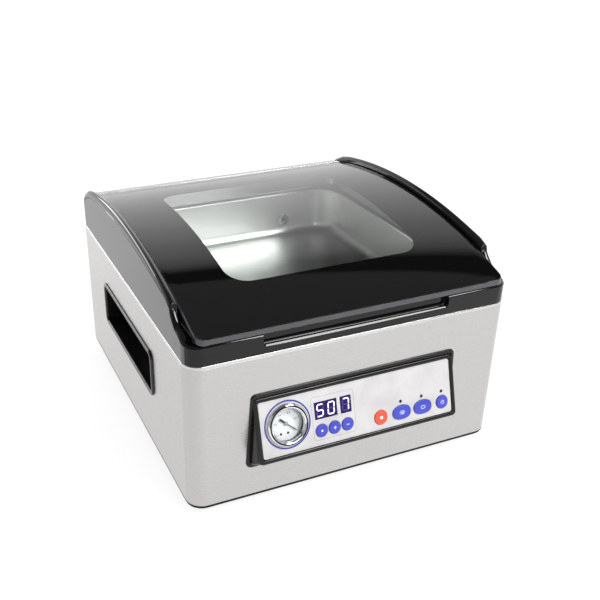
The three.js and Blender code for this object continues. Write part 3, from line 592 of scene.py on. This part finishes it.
def build_top_frame():
    back = RAIL_END[-1][0]
    sections = []
    for y, z in reversed(RAIL_END):
        sections.append(((-HALF_W, y), (1, 0), side_section(y, z)))
    start = RAIL_END[0][0]
    for k in range(1, 31):
        y = start + (NOSE[0][0] + 2 - start) * k / 30
        sections.append(((-HALF_W, y), (1, 0), side_section(y, arch(y, LID_R + RAIL_RISE))))
    for y, z in nose_points():
        if y < -HALF_D + CORNER_R:
            break
        flat = band_section(z, z, RAIL_INNER + 0.01)
        share = along(-y, [(154, 0), (172, 1)])
        mixed = [(p[0] + (q[0] - p[0]) * share, p[1] + (q[1] - p[1]) * share)
                 for p, q in zip(side_section(y, z), flat)]
        sections.append(((-HALF_W, y), (1, 0), mixed))
    steps = 18
    flank = len(sections) + 5
    fall = sorted((-y, z) for y, z in NOSE if y < -160)
    for k in range(steps + 1):
        point, inward = corner_station(k / steps)
        top = along(-point[1], fall)
        inner = RAIL_INNER + (BAND_INNER - RAIL_INNER) * k / steps
        sections.append((point, inward, band_section(top, top, inner)))
    sections.append(((-SLOT_HALF_W, -HALF_D), (0, 1), band_section(BAND_Z, BAND_Z, BAND_INNER)))
    for k in range(7):
        t = math.radians(90 * k / 6)
        x = -SLOT_HALF_W + SLOT_END_R * (1 - math.cos(t)) + 0.02
        floor = SLOT_Z + SLOT_END_R * (1 - math.sin(t))
        sections.append(((x, -HALF_D), (0, 1), band_section(BAND_Z, floor, BAND_INNER)))
    sections += [((-x, y), (-dx, dy), s) for (x, y), (dx, dy), s in reversed(sections)]
    rings = [stand(*section) for section in sections]
    between = 171.4  # just short of the side walls' inner faces
    cross = box(-between, between, 171, back, SEAM_Z, 199.5)
    shelf = hollow_slab(rounded(-between, between, -177.4, 170.9, 1),
                        rounded(-160, 160, -171.9, 166.5, 6), 178, 183.2, place)
    spots = len(rings[0])
    # the rails' outer wall is satin, as far as the start of the front corners
    zones = [int(i < 2 and (k < flank or k >= len(rings) - 1 - flank))
             for k in range(len(rings) - 1) for i in range(spots)]
    zones += [0] * (2 + len(cross[1]) + len(shelf[1]))
    build("top_frame_shell", [loft(rings), cross, shelf], [gloss_black, satin_flank], "gloss_black",
          stands_for=["top_frame"], sharp=42, zones=zones)


# ---- hand recesses
def build_hand_recess(side, name):
    def where(y, z, depth):
        return place(side * (HALF_W + 0.3 - depth), y, z)

    def outline(grow):
        half_w, half_h = POCKET_HALF_W + grow, POCKET_HALF_H + grow
        return rounded(POCKET_Y - half_w, POCKET_Y + half_w, POCKET_Z - half_h, POCKET_Z + half_h,
                       5 + max(grow, -3))

    levels = [(-4, 26), (-1.2, 25.6), (-0.4, 24.5), (0, 22), (0, 0.2), (0.15, -0.9), (0.6, -1.5),
              (1.2, -1.9), (2.0, -2.15), (3.4, -2.15), (4.4, -1.9), (5.0, -1.2), (5.3, -0.2), (5.3, 0),
              (2.5, 0.01), (2.5, 27.9), (-4, 28)]
    build(f"hand_recess_{name}_cup", [stacked(levels, outline, where)], cup_black, "matte_black",
          stands_for=[f"hand_recess_{name}"], sharp=50)


# ---- vacuum chamber
def build_chamber():
    def mouth(grow):
        half_w = 149 + grow
        return rounded(-half_w, half_w, -170 - grow, half_w, 35 + grow, corner_steps=14, side_steps=8)

    def lean(z):
        return -6 * (SEAL_Z - z) / (SEAL_Z - CHAMBER_FLOOR)

    levels = []
    middle_y = -10.5
    for share in (0.05, 0.3, 0.6, 0.85, 0.97):
        reach = [(x * share, middle_y + (y - middle_y) * share) for x, y in mouth(-17)]
        levels.append((reach, CHAMBER_FLOOR))
    fillet = 12
    for k in range(9):
        t = math.radians(90 * k / 8)
        z = CHAMBER_FLOOR + fillet * (1 - math.cos(t))
        levels.append((mouth(lean(z) - fillet * (1 - math.sin(t))), z))
    levels += [(mouth(lean(z)), z) for z in (150, 160, 170, 178)]
    for k in range(7):
        t = math.radians(90 * k / 6)
        grow = 3.5 * (1 - math.cos(t)) + lean(SEAL_Z) - 0.3 * math.cos(t)
        levels.append((mouth(grow), SEAL_Z - 3.5 * (1 - math.sin(t))))
    for inset, z in ((1.2, SEAL_Z), (0.3, SEAL_Z - 0.2), (0, SEAL_Z - 0.6), (0, SEAL_Z - FLANGE_T)):
        levels.append((rounded(-167 + inset, 167 - inset, -177 + inset, 166 - inset, 6, corner_steps=14,
                               side_steps=8), z))
    for grow, z in ((1.6, SEAL_Z - FLANGE_T), (1.5 + lean(140), 140), (1.5 + lean(132), 131),
                    (-12, CHAMBER_FLOOR - 1.4)):
        levels.append((mouth(grow), z))
    rings = [[place(x, y, z) for x, y in outline] for outline, z in levels]
    build("vacuum_chamber_tub", [loft(rings)], tub_steel, "chamber_steel",
          stands_for=["vacuum_chamber"], sharp=60)

    def at_port(a, b, depth):
        return place(PORT[0] + a, 145.1 - depth, PORT[1] + b)

    collar = [(3.2, -2), (3.2, 1.1), (3.6, 1.7), (6.2, 1.7), (7.0, 1.3), (7.4, 0.4), (7.4, -2)]
    build("suction_port_collar", [turned(collar, at_port, 48)], zinc, "zinc_plated_steel")
    # a black disc inside the collar: painted shade standing in for the dark hole of the port
    build("suction_port_hole_shade", [slab(ellipse(0, 0, 3.3, 3.3, 40), -1.5, 0.2, at_port)], grained_black,
          "matte_black")


# ---- lid
def lid_half_width(y):
    """The sheet's half width at y: its two front corners are round in plan."""
    reach = max(0.0, LID_FRONT + LID_CORNER_R - y)
    return LID_HALF_W - LID_CORNER_R + math.sqrt(max(0.0, LID_CORNER_R ** 2 - reach ** 2))


def lid_top(y):
    return arch(y) + LID_LIFT


def lid_under(y):
    return max(arch(y, LID_R - LID_T) + LID_LIFT, BAND_Z + 1.2)


def build_lid_sheet():
    corner_steps, long_steps, wide_steps = 9, 56, 40
    stops = [LID_FRONT + LID_CORNER_R * (1 - math.cos(math.radians(90 * k / corner_steps)))
             for k in range(corner_steps + 1)]
    straight = LID_FRONT + LID_CORNER_R
    stops += [straight + (LID_BACK - 0.6 - straight) * k / long_steps for k in range(1, long_steps + 1)]
    stops.append(LID_BACK)
    bevel_w, bevel_h = 1.3, 1.1
    rings = []
    for y in stops:
        half = lid_half_width(y)
        ease = 0.7 if y in (stops[0], stops[-1]) else 0.0
        top, under = lid_top(y) - ease, lid_under(y) + ease * 0.6
        flat = half - bevel_w
        ring = [(-half, under + 0.5), (-half + 0.4, under)]
        ring += [(-half + 0.4 + (2 * half - 0.8) * k / 8, under) for k in range(1, 8)]
        ring += [(half - 0.4, under), (half, under + 0.5), (half, top - bevel_h),
                 (half - 0.2, top - bevel_h + 0.3), (flat + 0.25, top - 0.12)]
        ring += [(flat - 2 * flat * k / wide_steps, top) for k in range(wide_steps + 1)]
        ring += [(-flat - 0.25, top - 0.12), (-half + 0.2, top - bevel_h + 0.3),
                 (-half, top - bevel_h)]
        rings.append([place(x, y, z) for x, z in ring])
    points, faces = loft(rings)
    count = len(rings[0])
    clear_places = set(range(1, 9)) | set(range(14, 14 + wide_steps))  # the underside and the top
    side_places = {0, 9, 10, count - 1}
    painted_shade_from = 6 * count  # the sides are edge_black from here back, as painted shade on the side walls; in front of it they take the grey edge material, painted light of a lit acrylic edge
    zones = []
    for face in faces:
        spot = face[0] % count
        is_painted_shade = spot in side_places and face[0] >= painted_shade_from
        zones.append(0 if len(face) == 4 and spot in clear_places else 2 if is_painted_shade else 1)
    zones[-2:] = [1, 1]
    build("lid_sheet", [(points, faces)], [pane, acrylic_edge_painted_light, edge_black], "clear_acrylic", body="lid",
          stands_for=["lid_panel"], sharp=60, zones=zones)


def build_lid_print():
    """The black border just under the clear sheet's upper face, with the window left open."""
    half_w = LID_HALF_W - 2.5
    outer = rounded(-half_w, half_w, LID_FRONT + 1.0, LID_BACK - 0.8, 8, 1.5, corner_steps=10, side_steps=28)
    inner = rounded(*WINDOW, 24, 20, corner_steps=10, side_steps=28)
    rings = []
    shares = [k / 10 for k in range(11)]
    for depth, order in ((0.3, shares), (0.45, shares[::-1])):
        for share in order:
            ring = []
            for (ax, ay), (bx, by) in zip(outer, inner):
                x, y = ax + (bx - ax) * share, ay + (by - ay) * share
                ring.append(place(x, y, lid_top(y) - depth))
            rings.append(ring)
    build("lid_printed_border", [loft(rings, caps=False)], printed_black, "gloss_black", body="lid",
          sharp=70)


def build_hinge_strips():
    """The metal strip on the lid's rear edge, curled round the hinge, and the cover behind it."""
    start = LID_BACK + 2.2
    near, far = lid_top(LID_BACK), lid_top(start)
    # a black strip in the seam behind the sheet's rear edge: painted shade for the dark gap line in front of
    # the trim
    gap = [(LID_BACK + 0.1, near - 2), (LID_BACK + 0.1, near - 0.9), (start + 0.2, far - 0.9),
           (start + 0.2, far - 2)]
    build("lid_rear_gap_shade", [slab(gap, -STRIP_HALF_W, STRIP_HALF_W, across)], edge_black, "matte_black",
          body="lid")
    curl = 2.75  # the strip's outer radius round the hinge's axis
    trim = [(start, far - 1.6), (start, far - 0.3), (start + 0.3, far + 0.02), (HINGE_Y, HINGE_Z + curl)]
    for k in range(1, 10):
        t = math.radians(90 - 13 * k)
        trim.append((HINGE_Y + curl * math.cos(t), HINGE_Z + curl * math.sin(t)))
    trim += [(HINGE_Y + 1.6, HINGE_Z - 0.9), (HINGE_Y + 1.7, HINGE_Z + 0.3), (HINGE_Y, HINGE_Z + 1.5)]
    build("lid_rear_trim", [slab(trim, -STRIP_HALF_W, STRIP_HALF_W, across)], cover_steel,
          "stainless_sheet", body="lid", bevel=0.15, sharp=50)
    front, back = HINGE_Y + 3.35, 190.8
    cover = [(front, lid_top(front) - 1.3), (front, lid_top(front) - 0.35), (front + 0.35, lid_top(front))]
    tops = [front + (back - 1.4 - front) * k / 6 for k in range(1, 7)]
    cover += [(y, lid_top(y)) for y in tops]
    cover += [(back - 0.6, lid_top(back) - 0.1), (back + 0.1, lid_top(back) - 0.7),
              (HALF_D - 0.4, lid_top(back) - 2.2), (HALF_D - 0.2, SEAM_Z + 3.3),
              (HALF_D - 1.4, SEAM_Z + 3.3), (HALF_D - 1.6, 201.5), (front + 4, lid_top(front + 4) - 1.6)]
    build("hinge_cover_strip", [slab(cover, -171.1, 171.1, across)], cover_steel, "stainless_sheet",
          stands_for=["hinge_cover"], bevel=0.12, sharp=50)


# ---- control panel
def build_bezel():
    radius = 6
    corners = ((121, 35.5, -90), (116.5, 121, 0), (-116.5, 121, 90), (-121, 35.5, 180))

    def flange(grow, y):
        outline = []
        for x, z, start in corners:
            cx, cz = x - math.copysign(radius, x), z - math.copysign(radius, z - PANEL_CENTRE[2])
            outline += arc_corner(cx, cz, radius + grow, start, 8)
        return [place(x, y, z) for x, z in outline]

    def rim(grow, w):
        half_u, half_v = PANEL_HALF[0] + 3.8 + grow, PANEL_HALF[1] + 3.7 + grow
        return [on_panel(u, v, w) for u, v in rounded(-half_u, half_u, -half_v, half_v, max(3.5 + grow, 1.2))]

    def insert(y):
        return [place(x, y, z) for x, z in rounded(-110.8, 110.8, 44.2, 116.8, 2)]

    face = -HALF_D - 0.25
    base = flange(-3.2, face - 1.35)
    top = rim(1.4, 0.0)
    rings = [flange(0, face), flange(0, face - 0.6), flange(-0.35, face - 1.1), flange(-1.0, face - 1.3),
             base]
    for share, hollow in ((0.1, 0.5), (0.3, 1.1), (0.55, 1.3), (0.8, 0.7)):
        rings.append([a + (b - a) * share + Vector((0, hollow * MM * share, 0)) for a, b in
                      zip(base, top)])
    rings += [top, rim(0.7, 0.95), rim(0.2, 1.3), rim(-0.5, RIM), rim(-2.0, RIM), rim(-2.9, 1.25),
              rim(-3.3, 0.6), rim(-3.4, -2.3), rim(-8.0, -2.3), rim(-8.0, -9.0), insert(-185),
              insert(face + 0.02)]
    build("bezel_shell", [loft(rings, caps=False)], gloss_black, "gloss_black", stands_for=["bezel"],
          sharp=50)


def mark(name, shells, look, slot, body="housing"):
    """A thin printed mark, a few hundredths of a millimetre proud of what it is printed on."""
    build(name, shells, look, slot, body=body, sharp=40)


def frame_line(x0, x1, y0, y1, radius, width, low, high, where):
    outer = rounded(x0, x1, y0, y1, radius)
    inner = rounded(x0 + width, x1 - width, y0 + width, y1 - width, radius - width)
    return hollow_slab(outer, inner, low, high, where)


def build_panel_prints():
    ring = turned([(23.6, -0.02), (23.6, 0.06), (25.2, 0.06), (25.2, -0.02)], on_gauge)
    mark("gauge_print_ring", [ring], print_blue, "button_blue")
    outline = frame_line(-53.5, -5.5, -23.5, 22, 3, 0.35, -0.02, 0.05, on_panel)
    mark("display_group_line", [outline], print_grey, "panel_silver")


SEGMENTS = {"0": "abcdef", "5": "acdfg", "7": "abc"}


def seven_segments(digit, cx, cy):
    """The lit and unlit bars of one digit, as flat six-sided outlines."""
    wide, tall, gap, thin, slant = 3.3, 6.1, 0.22, 0.65, 0.07
    bars = {"a": (-1, 1, 1, 1), "b": (1, 1, 1, 0), "c": (1, 0, 1, -1), "d": (1, -1, -1, -1),
            "e": (-1, -1, -1, 0), "f": (-1, 0, -1, 1), "g": (-1, 0, 1, 0)}
    lit_bars, dark_bars = [], []
    for letter, (ax, ay, bx, by) in bars.items():
        a, b = Vector((ax * wide, ay * tall)), Vector((bx * wide, by * tall))
        forward = (b - a).normalized()
        side = Vector((-forward.y, forward.x)) * thin
        a, b = a + forward * gap, b - forward * gap
        outline = [a, a + forward * thin + side, b - forward * thin + side, b,
                   b - forward * thin - side, a + forward * thin - side]
        outline = [(cx + p.x + p.y * slant, cy + p.y) for p in outline]
        (lit_bars if letter in SEGMENTS[digit] else dark_bars).append(outline)
    return lit_bars, dark_bars


def build_display(node, x0, x1, digits):
    y0, y1 = -1.6, 16
    outline = rounded(x0, x1, y0, y1, 0.5)
    build(node + "_window", [slab(outline, -4, -0.25, on_panel)], smoked, "display_window",
          stands_for=[node], bevel=0.15)
    pitch = (x1 - x0) / len(digits)
    lit_bars, dark_bars = [], []
    for k, digit in enumerate(digits):
        bright, dark = seven_segments(digit, x0 + pitch * (k + 0.5), (y0 + y1) / 2)
        lit_bars += bright
        dark_bars += dark
    mark(node + "_lit_bars", [slab(bar, -0.3, -0.12, on_panel) for bar in lit_bars], digit_light,
         "display_window")
    if dark_bars:
        mark(node + "_unlit_bars", [slab(bar, -0.3, -0.2, on_panel) for bar in dark_bars], digit_off,
             "display_window")


def build_button(node, cx, cy, rx, ry, look, slot, height):
    dome = [(0, -4), (0, height - 0.7), (-0.1, height - 0.4), (-0.35, height - 0.15),
            (-0.8, height), (-1.6, height + 0.06)]
    dome += [(-ry * share, height + 0.06 + 0.14 * share) for share in (0.4, 0.6, 0.8, 0.93)]

    def outline(grow):
        return ellipse(cx, cy, rx + grow * rx / ry if grow < -1.6 else rx + grow, ry + grow,
                       fullness=1.22 if rx > ry else 1)

    build(node + "_cap", [stacked(dome, outline, on_panel)], look, slot, body=node, stands_for=[node],
          sharp=50)


def stroke(cx, cy, half_w, half_h, low, high):
    return slab([(cx - half_w, cy - half_h), (cx + half_w, cy - half_h), (cx + half_w, cy + half_h),
                 (cx - half_w, cy + half_h)], low, high, on_panel)


def build_buttons():
    def sign(button, shells, slot="button_blue"):
        mark(button + "_mark", shells, print_white, slot, button)

    for k, cx in enumerate(SMALL_BUTTONS_U):
        build_button(f"time_button_{k + 1}", cx, SMALL_BUTTON_V, 6.7, 6.7, button_blue, "button_blue", 1.0)
    build_button("stop_button", STOP_U, MAIN_BUTTON_V, 7.6, 7.6, button_red, "button_red", 1.2)
    for name, cx, rx, ry in (("vacuum_button", VACUUM_U, 10.9, 7.6), ("set_button", SET_U, 10.9, 7.6),
                             ("power_button", POWER_U, 7.2, 7.2)):
        build_button(name, cx, MAIN_BUTTON_V, rx, ry, button_blue, "button_blue", 1.2)
    low, high = 0.95, 1.24
    dot, plus, minus = SMALL_BUTTONS_U
    sign("time_button_1", [slab(ellipse(dot, SMALL_BUTTON_V, 1.1, 1.1, 24), low, high, on_panel)])
    sign("time_button_2", [stroke(plus, SMALL_BUTTON_V, 1.7, 0.32, low, high),
                           stroke(plus, SMALL_BUTTON_V, 0.32, 1.7, low, high + 0.01)])
    sign("time_button_3", [stroke(minus, SMALL_BUTTON_V, 1.7, 0.32, low, high)])
    low, high = 1.15, 1.44
    sign("stop_button", [stroke(STOP_U, MAIN_BUTTON_V, 1.5, 1.5, low, high)], "button_red")
    sign("vacuum_button", [stroke(VACUUM_U, MAIN_BUTTON_V + k * 1.5, 3.2 - abs(k) * 0.9, 0.28, low, high)
                           for k in (-1, 0, 1)])
    sign("set_button", [frame_line(SET_U - 2.5, SET_U + 2.5, MAIN_BUTTON_V - 1.7, MAIN_BUTTON_V + 1.7, 1.2,
                                   0.5, low, high, on_panel)])
    turns = [math.radians(125 + 290 * k / 28) for k in range(29)]
    arc = [(2.1, t) for t in turns] + [(1.6, t) for t in reversed(turns)]
    curve = [(POWER_U + r * math.cos(t), MAIN_BUTTON_V + r * math.sin(t)) for r, t in arc]
    sign("power_button", [slab(curve, low, high, on_panel),
                          stroke(POWER_U, MAIN_BUTTON_V + 1.5, 0.25, 1.2, low, high)])
    for k, cx in enumerate((48.4, 73.7, 98.2)):
        def lens(grow, middle=cx):
            return ellipse(middle, -4.5, 1.4 + grow, 1.4 + grow, 32)
        levels = [(0, -3), (0, 0.2), (-0.15, 0.5), (-0.45, 0.75), (-0.9, 0.9), (-1.3, 0.95)]
        build(f"indicator_lamp_{k + 1}_lens", [stacked(levels, lens, on_panel)], lamp_dark, "lamp_dark",
              stands_for=[f"indicator_lamp_{k + 1}"], sharp=60)


# ---- vacuum gauge
def tick(angle, inner, outer, width, low, high):
    along_tick = Vector((math.cos(angle), math.sin(angle)))
    side = Vector((-along_tick.y, along_tick.x)) * width / 2
    corners = [along_tick * inner - side, along_tick * outer - side, along_tick * outer + side,
               along_tick * inner + side]
    return slab([(c.x, c.y) for c in corners], low, high, on_gauge)


def dial_number(text, angle, radius, size):
    """A printed number, upright, centred on the dial at that angle."""
    name = "dial_number_" + text
    curve = bpy.data.curves.new(name, "FONT")
    curve.body = text
    curve.size = size * MM
    curve.align_x, curve.align_y = "CENTER", "CENTER"
    curve.extrude = 0.02 * MM
    u, v = radius * math.cos(angle), radius * math.sin(angle)
    obj = add_object(name, curve)
    right, up = Vector((1, 0, 0)), Vector((0, math.sin(PANEL_TILT), math.cos(PANEL_TILT)))
    turn = Matrix((right, up, right.cross(up))).transposed().to_4x4()
    obj.matrix_world = Matrix.Translation(on_gauge(u, v, -4.93)) @ turn
    curve.materials.append(needle_black.material)
    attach(obj, "housing")


def build_gauge():
    ring = [(16.9, 0.9), (17.0, 2.4), (17.5, 3.4), (18.3, 4.1), (19.3, 4.45), (20.3, 4.3), (21.2, 3.7),
            (21.9, 2.8), (22.3, 1.7), (22.4, 0.6), (22.2, 0.1), (18.2, 0.1), (18.0, 0.9)]
    build("gauge_chrome_ring", [turned(ring, on_gauge, 128)], chrome, "chrome",
          stands_for=["gauge_bezel"], sharp=60)
    # a black band over the chrome ring's crest: painted reflection, standing in for the dark band that the
    # chrome mirrors
    reflection_band = [(18.9, 3.9), (19.0, 4.6), (19.5, 4.75), (20.4, 4.55), (20.6, 3.8)]
    build("gauge_ring_dark_reflection", [turned(reflection_band, on_gauge, 128)], edge_black, "matte_black", sharp=60)
    # the thin wall between dial and chrome ring is black: painted shade for the dark ring of shadow inside
    # the rim
    wall = [(17.95, -5.9), (17.95, 0.8), (18.15, 0.8), (18.15, -5.9)]
    build("gauge_inner_wall_shade", [turned(wall, on_gauge)], grained_black, "matte_black")
    build("gauge_dial_plate", [slab(ellipse(0, 0, 17.8, 17.8, 96), -5.7, -5, on_gauge)], dial_white,
          "dial_white", stands_for=["gauge_dial"], bevel=0.1)
    ticks = []
    for k in range(51):
        angle = NEEDLE_REST + GAUGE_SWEEP * k / 50
        major = k % 10 == 0
        middle = k % 5 == 0
        length, width = (2.6, 0.42) if major else (2.0, 0.28) if middle else (1.3, 0.16)
        ticks.append(tick(angle, 15.8 - length, 15.8, width, -5.02, -4.95))
    turns = [NEEDLE_REST + GAUGE_SWEEP * k / 60 for k in range(61)]
    band = [(15.95 * math.cos(t), 15.95 * math.sin(t)) for t in turns]
    band += [(15.75 * math.cos(t), 15.75 * math.sin(t)) for t in reversed(turns)]
    mark("gauge_scale", ticks + [slab(band, -5.02, -4.94, on_gauge)], needle_black, "needle_black")
    for k, text in enumerate(("0", "0.2", "0.4", "0.6", "0.8", "1")):
        dial_number(text, NEEDLE_REST + GAUGE_SWEEP * k / 5, 10.9, 2.7)
    for k, u in enumerate((-6.2, 1.6)):
        head = [(0.001, -5), (1.25, -5), (1.25, -4.6), (1.0, -4.42), (0.001, -4.4)]
        build(f"dial_screw_{k + 1}", [turned(head, lambda a, b, h, u=u: on_gauge(u + a, -10.3 + b, h), 24)],
              needle_black, "needle_black")

    def pointer(a, b, w):
        cos, sin = math.cos(NEEDLE_REST), math.sin(NEEDLE_REST)
        return on_gauge(a * cos - b * sin, a * sin + b * cos, w)

    hand = [(-8.4, -1.1), (-3.0, -1.1), (-2.2, -0.6), (13.2, -0.4), (14.6, 0), (13.2, 0.4),
            (-2.2, 0.6), (-3.0, 1.1), (-8.4, 1.1)]
    hub = [(0.001, -4.2), (1.7, -4.2), (2.0, -4.0), (2.0, -3.2), (1.7, -2.95), (0.001, -2.9)]
    build("gauge_needle_hand", [slab(hand, -4.0, -3.5, pointer)], needle_black, "needle_black",
          body="gauge_needle", stands_for=["gauge_needle"], bevel=0.12)
    build("gauge_needle_hub", [turned(hub, pointer, 40)], zinc, "zinc_plated_steel",
          body="gauge_needle")
    glass = [(0, -0.9), (0, 0.5), (-0.3, 0.75), (-6, 0.9), (-12, 0.97), (-17, 1.0)]

    def lens(grow):
        return ellipse(0, 0, 17.7 + grow, 17.7 + grow, 96)

    build("gauge_lens_glass", [stacked(glass, lens, on_gauge)], lens_glass, "clear_acrylic",
          stands_for=["gauge_lens"], sharp=50)


# ---- small fittings that CAD leaves plain
def screw(name, where, radius):
    """A cross-head screw standing on a surface; where maps (a, b, height) onto it."""
    head = [(0.001, 0.02), (radius, 0.02), (radius, 0.5), (radius * 0.9, 1.0), (radius * 0.6, 1.35),
            (0.001, 1.5)]
    slots = [slab([(-a, -b), (a, -b), (a, b), (-a, b)], 1.3, 1.56, where)
             for a, b in ((radius * 0.55, radius * 0.1), (radius * 0.1, radius * 0.55))]
    build(name, [turned(head, where, 32)], zinc, "zinc_plated_steel", sharp=50)
    build(name + "_recess", slots, grained_black, "matte_black")


def build_fasteners():
    face = HALF_D - 1.08
    edges = [(-168, 12), (-168, 82), (-168, 150), (168, 12), (168, 82), (168, 150), (0, 150), (40, 12)]
    fan = [(-36, 24), (36, 24), (-36, 96), (36, 96)]
    for kind, spots, radius in (("rear", edges, 3.2), ("fan", fan, 2.6)):
        for k, (x, z) in enumerate(spots):
            def where(a, b, h, x=x, z=z):
                return place(x + a, face + h * 0.9, z + b)
            screw(f"{kind}_screw_{k + 1}", where, radius)


# ---- floor, light, camera
def stage_plane():
    mesh = bpy.data.meshes.new("floor")
    mesh.from_pydata([(-14, -9, 0), (14, -9, 0), (14, 22, 0), (-14, 22, 0)], [], [(0, 1, 2, 3)])
    floor = add_object("floor", mesh)
    look = Look("studio_floor", (0.28, 0.28, 0.28), 0.6)
    look.set("Emission Color", (1, 1, 1, 1))
    look.set("Emission Strength", 0.84)
    look.tint(look.noise(600, detail=2), 0.985, 1.01)
    mesh.materials.append(look.material)


def softbox(name, direction, distance, width, height, radiance):
    """A rectangular lamp that faces the machine from a direction; radiance is how bright it looks."""
    lamp = bpy.data.lights.new(name, "AREA")
    lamp.shape = "RECTANGLE"
    lamp.size, lamp.size_y = width, height
    lamp.energy = radiance * math.pi * width * height
    obj = add_object(name, lamp)
    away = Vector(direction).normalized()
    obj.location = Vector((0, 0, 0.15)) + away * distance
    obj.rotation_euler = away.to_track_quat("Z", "Y").to_euler()


def build_world():
    """A studio tent: bright round the horizon, a dark gap, then a dim ceiling; darker in front and left."""
    world = bpy.data.worlds.new("studio")
    bpy.context.scene.world = world
    world.use_nodes = True
    tree = world.node_tree
    coordinates = tree.nodes.new("ShaderNodeTexCoord")
    parts = tree.nodes.new("ShaderNodeSeparateXYZ")
    tree.links.new(coordinates.outputs["Generated"], parts.inputs[0])
    ramp = tree.nodes.new("ShaderNodeValToRGB")
    stops = [(0, 1.35), (23, 1.35), (31, 1.2), (39, 0.9), (42, 0.58), (44.3, 0.05), (47.2, 0.05),
             (47.8, 0.25), (90, 0.29)]
    brightest = stops[0][1]
    elements = ramp.color_ramp.elements
    while len(elements) < len(stops):
        elements.new(0.5)
    for element, (angle, value) in zip(elements, stops):
        element.position = math.sin(math.radians(angle))
        element.color = (value / brightest,) * 3 + (1,)
    tree.links.new(parts.outputs["Z"], ramp.inputs["Fac"])
    front = map_range(tree, parts.outputs["Y"], -0.35, 0.15, 0.4 * brightest, brightest)
    left = map_range(tree, parts.outputs["X"], -0.95, -0.3, 0.55, 1.0)
    background = tree.nodes["Background"]
    tree.links.new(ramp.outputs["Color"], background.inputs["Color"])
    tree.links.new(multiply(tree, front, left), background.inputs["Strength"])


def build_camera():
    azimuth, elevation = math.radians(22.93), math.radians(27.82)
    sensor, focal, frame_px = 36, 856.7, 600
    data = bpy.data.cameras.new("camera")
    data.sensor_width = sensor
    data.lens = focal * sensor / frame_px
    data.shift_x, data.shift_y = 0.0937, 0.0193
    data.clip_start, data.clip_end = 0.05, 60
    camera = add_object("camera", data)
    forward = Vector((math.sin(azimuth) * math.cos(elevation), math.cos(azimuth) * math.cos(elevation),
                      -math.sin(elevation)))
    right = forward.cross(Vector((0, 0, 1))).normalized()
    up = right.cross(forward)
    camera.matrix_world = Matrix.Translation(place(-390.3, -823.0, 575.1)) @ Matrix(
        (right, up, -forward)).transposed().to_4x4()
    bpy.context.scene.camera = camera
    bpy.context.scene.view_settings.view_transform = "Standard"


# ---- everything together
build_camera()
build_world()
stage_plane()
softbox("key", (0.419, -0.548, 0.723), 1.65, 0.6, 0.42, 24)
softbox("front_fill", (0.155, -0.87, 0.47), 2.0, 1.0, 0.7, 6.5)
softbox("rim_left", (-0.50, 0.84, 0.16), 2.4, 1.1, 0.6, 6)

build_casing()
build_top_frame()
build_hand_recess(-1, "left")
build_hand_recess(1, "right")
build_chamber()
build_lid_sheet()
build_lid_print()
build_hinge_strips()
build_bezel()
build_panel_prints()
build_display("two_digit_display", -50.1, -25.3, "50")
build_display("one_digit_display", -21.1, -9.1, "7")
build_buttons()
build_gauge()
build_fasteners()

# each CAD node that is shown in its own shape, with how far its edges are rounded
for look, slot, bevels in (
        (grained_black, "matte_black", {
            "base_tray": 0.5, "pressure_bar_holder": 0.6, "fan_frame": 0.6, "fan_impeller": 0.3,
            "power_socket": 0.4, "switch_housing": 0.4, "lid_switch": 0.3, "lid_switch_plunger": 0.3,
            "gauge_housing": 0.35}),
        (sheet_steel, "stainless_sheet", {"rear_panel": 0.3}),
        (cover_steel, "stainless_sheet", {
            "lid_frame": 0.8, "hinge_leaf_lid": 0.2, "hinge_leaf_body": 0.2}),
        (zinc, "zinc_plated_steel", {
            "hinge_pin": 0.2, "guide_pin_left": 0.3, "guide_pin_right": 0.3, "pump_motor": 0.8,
            "transformer": 0.6}),
        (aluminium, "aluminium", {"lift_cylinder_left": 0.4, "lift_cylinder_right": 0.4, "seal_bar": 0.5}),
        (silicone, "silicone", {"lid_gasket": 0.4, "silicone_bar": 0.8}),
        (brass, "brass", {"valve_block": 0.5, "suction_fitting": 0.3}),
        (hose_rubber, "hose", {"suction_hose": 0, "pump_hose": 0}),
        (rubber, "rubber", {
            f"foot_{end}_{side}": 0.6 for end in ("front", "rear") for side in ("left", "right")}),
        (tape, "sealing_tape", {"heating_strip": 0.2}), (panel_film, "panel_silver", {"control_panel": 0.2}),
        (circuit, "circuit_board", {"control_board": 0.2}), (cast, "cast_metal", {"vacuum_pump": 1.0}),
        (button_red, "button_red", {"switch_rocker": 0.4})):
    for node, bevel in bevels.items():
        refined(node, look, slot, bevel)
